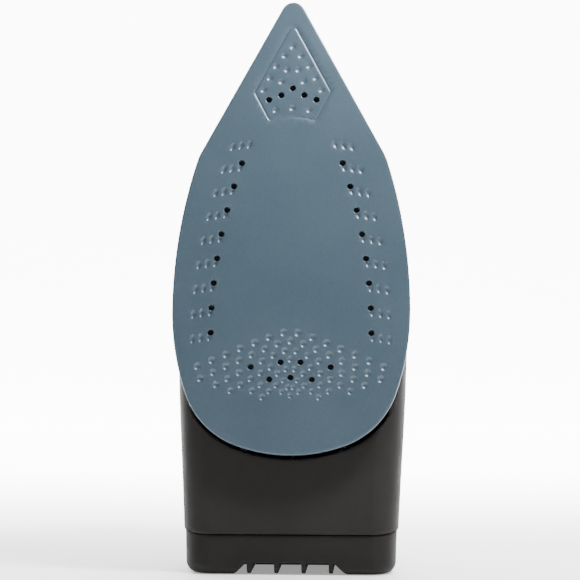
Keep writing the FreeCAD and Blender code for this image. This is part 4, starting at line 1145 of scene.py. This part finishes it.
def floor_material():
    material, nodes, links, shader = new_material("pale_floor_glowing_backdrop")
    cloud = noise_node(nodes, links, 2.0, 3.0)
    links.new(ramp_node(nodes, links, cloud, 0.86, 0.89), shader.inputs["Base Color"])
    shader.inputs["Roughness"].default_value = 0.7
    links.new(ramp_node(nodes, links, cloud, 0.97, 1.0), shader.inputs["Emission Color"])
    # Painted light: the floor and backdrop glow like a lamp, faintly under and in front of the iron and up to nine
    # times as strongly behind it, lighting the iron's back and sides.
    coordinates = nodes.new("ShaderNodeTexCoord")
    parts = nodes.new("ShaderNodeSeparateXYZ")
    glow = nodes.new("ShaderNodeMapRange")
    glow.interpolation_type = "SMOOTHSTEP"
    for name, value in (("From Min", 0.0), ("From Max", 0.7), ("To Min", 0.35), ("To Max", 9.0)):
        glow.inputs[name].default_value = value
    links.new(coordinates.outputs["Object"], parts.inputs["Vector"])
    links.new(parts.outputs["Y"], glow.inputs["Value"])
    links.new(glow.outputs["Result"], shader.inputs["Emission Strength"])
    return material


def make_stage():
    """A pale floor that curves up into a backdrop and glows as painted light, faintly in front of the iron and
    strongly behind it; four soft lights and a pale sky.
    """
    bend = np.linspace(0, math.pi / 2, 17)
    sweep = [(-3.0, 0.0)] + [(1.2 + 0.9 * math.sin(a), 0.9 - 0.9 * math.cos(a)) for a in bend] + [(2.1, 3.0)]
    points = []
    faces = []
    for i, (y, z) in enumerate(sweep):
        points += [(-3.5, y, z), (3.5, y, z)]
        if i:
            faces.append((2 * i - 2, 2 * i - 1, 2 * i + 1, 2 * i))
    mesh = bpy.data.meshes.new("backdrop")
    mesh.from_pydata(points, [], faces)
    mesh.polygons.foreach_set("use_smooth", [True] * len(mesh.polygons))
    mesh.materials.append(floor_material())
    backdrop = bpy.data.objects.new("backdrop", mesh)
    bpy.context.scene.collection.objects.link(backdrop)

    def area(name, place, target, size, power):
        light = bpy.data.lights.new(name, "AREA")
        light.shape = "RECTANGLE"
        light.size, light.size_y = size
        light.energy = power
        lamp = bpy.data.objects.new(name, light)
        lamp.location = place
        lamp.rotation_euler = (Vector(target) - Vector(place)).to_track_quat("-Z", "Y").to_euler()
        bpy.context.scene.collection.objects.link(lamp)

    area("key", (0.42, -0.24, 0.86), (0, -0.05, 0.19), (0.16, 0.16), 12.5)
    area("accent", (0.1, -0.16, 0.42), (0, 0.0, 0.27), (0.07, 0.07), 0.95)
    area("fill", (-1.4, -0.9, 0.5), (0, 0, 0.15), (0.6, 1.2), 2)
    area("top", (0, 0.5, 1.9), (0, 0.1, 0.1), (1.4, 1.4), 12)
    world = bpy.data.worlds.new("sky")
    world.use_nodes = True
    world.node_tree.nodes["Background"].inputs["Color"].default_value = (1.0, 1.0, 1.0, 1.0)
    world.node_tree.nodes["Background"].inputs["Strength"].default_value = 0.16
    bpy.context.scene.world = world


CAMERA_AWAY = 1.2
CAMERA_HEIGHT = 0.1467
CAMERA_SIDE = 0.055
CAMERA_FOCAL = 145.35
CAMERA_ROLL = math.radians(0.12)


def make_camera():
    data = bpy.data.cameras.new("camera")
    data.lens = CAMERA_FOCAL
    data.sensor_width = 36.0
    camera = bpy.data.objects.new("camera", data)
    front = Vector((0.0, ORIGIN.y - CAMERA_AWAY, CAMERA_HEIGHT))
    camera.location = front + Vector((CAMERA_SIDE, 0, 0))
    target = Vector((0.0, ORIGIN.y, CAMERA_HEIGHT))
    look = (target - camera.location).to_track_quat("-Z", "Y").to_matrix().to_4x4()
    camera.matrix_world = Matrix.Translation(camera.location) @ look @ Matrix.Rotation(CAMERA_ROLL, 4, "Z")
    bpy.context.scene.collection.objects.link(camera)
    bpy.context.scene.camera = camera


make_camera()
make_stage()
ACETAL = moulded("acetal", (0.62, 0.62, 0.6), (0.68, 0.68, 0.66), 0.4)
SLOT_LOOKS = {
    "soleplate": coated_plate(),
    "charcoal": moulded(
        "charcoal_resin", (0.0165, 0.0155, 0.0145), (0.0205, 0.0193, 0.0182), 0.6, specular=0.14
    ),
    "charcoal_cap": moulded(
        "charcoal_cap_resin", (0.014, 0.0131, 0.0124), (0.0175, 0.0164, 0.0155), 0.6, specular=0.12
    ),
    "handle": moulded("handle_resin", (0.022, 0.0222, 0.0228), (0.0265, 0.0267, 0.0272), 0.36),
    "soft_grip": moulded("soft_grip", (0.014, 0.0144, 0.015), (0.018, 0.0184, 0.019), 0.62, 1300.0, 0.00006),
    # The heat skirt's near-black is darker than the other black plastics. It is partly painted shade, darkening
    # the gap seen under the soleplate's rim.
    "skirt": moulded("skirt_resin_shade_black", (0.006, 0.006, 0.0062), (0.008, 0.008, 0.0083), 0.6, specular=0.2),
    "black_plastic": moulded("black_resin", (0.012, 0.012, 0.012), (0.016, 0.016, 0.016), 0.35),
    "dial": moulded("dial_resin", (0.055, 0.072, 0.088), (0.065, 0.084, 0.102), 0.35),
    "white_plastic": ACETAL,
    "ceramic": ACETAL,
    "hose": moulded("silicone_hose", (0.55, 0.55, 0.52), (0.62, 0.62, 0.6), 0.45),
    "rubber": moulded("red_silicone", (0.3, 0.045, 0.03), (0.36, 0.055, 0.035), 0.5),
    "board": moulded("circuit_board", (0.02, 0.1, 0.045), (0.03, 0.13, 0.06), 0.4),
    "leads": moulded("lead_sleeve", (0.3, 0.3, 0.3), (0.36, 0.36, 0.36), 0.5),
    "trim": glossy_trim("blue_grey_trim", (0.085, 0.115, 0.145), (0.1, 0.132, 0.165), 0.3),
    "button": glossy_trim("button_gloss", (0.12, 0.16, 0.2), (0.14, 0.185, 0.23), 0.24),
    "lens": glossy_trim("amber_lens", (0.5, 0.12, 0.02), (0.6, 0.16, 0.03), 0.12),
    "smoke_clear": smoke_clear(),
    "casting": metal("heat_darkened_casting", (0.03, 0.03, 0.03), (0.05, 0.05, 0.048), 0.6, 0.4),
    "steel": metal("plated_steel", (0.5, 0.5, 0.5), (0.62, 0.62, 0.61), 0.25),
    "brass": metal("plain_brass", (0.55, 0.38, 0.13), (0.68, 0.48, 0.18), 0.25),
}

for node_name, node in frame["nodes"].items():
    for node_slot in node.material_slots:
        node_slot.material = SLOT_LOOKS[SLOTS[node_name]]
points, faces = soleplate_mesh()
make_piece("soleplate_coated", points, faces, "soleplate")
make_shells()
make_dial()
make_buttons()
make_lens()
make_nozzle()
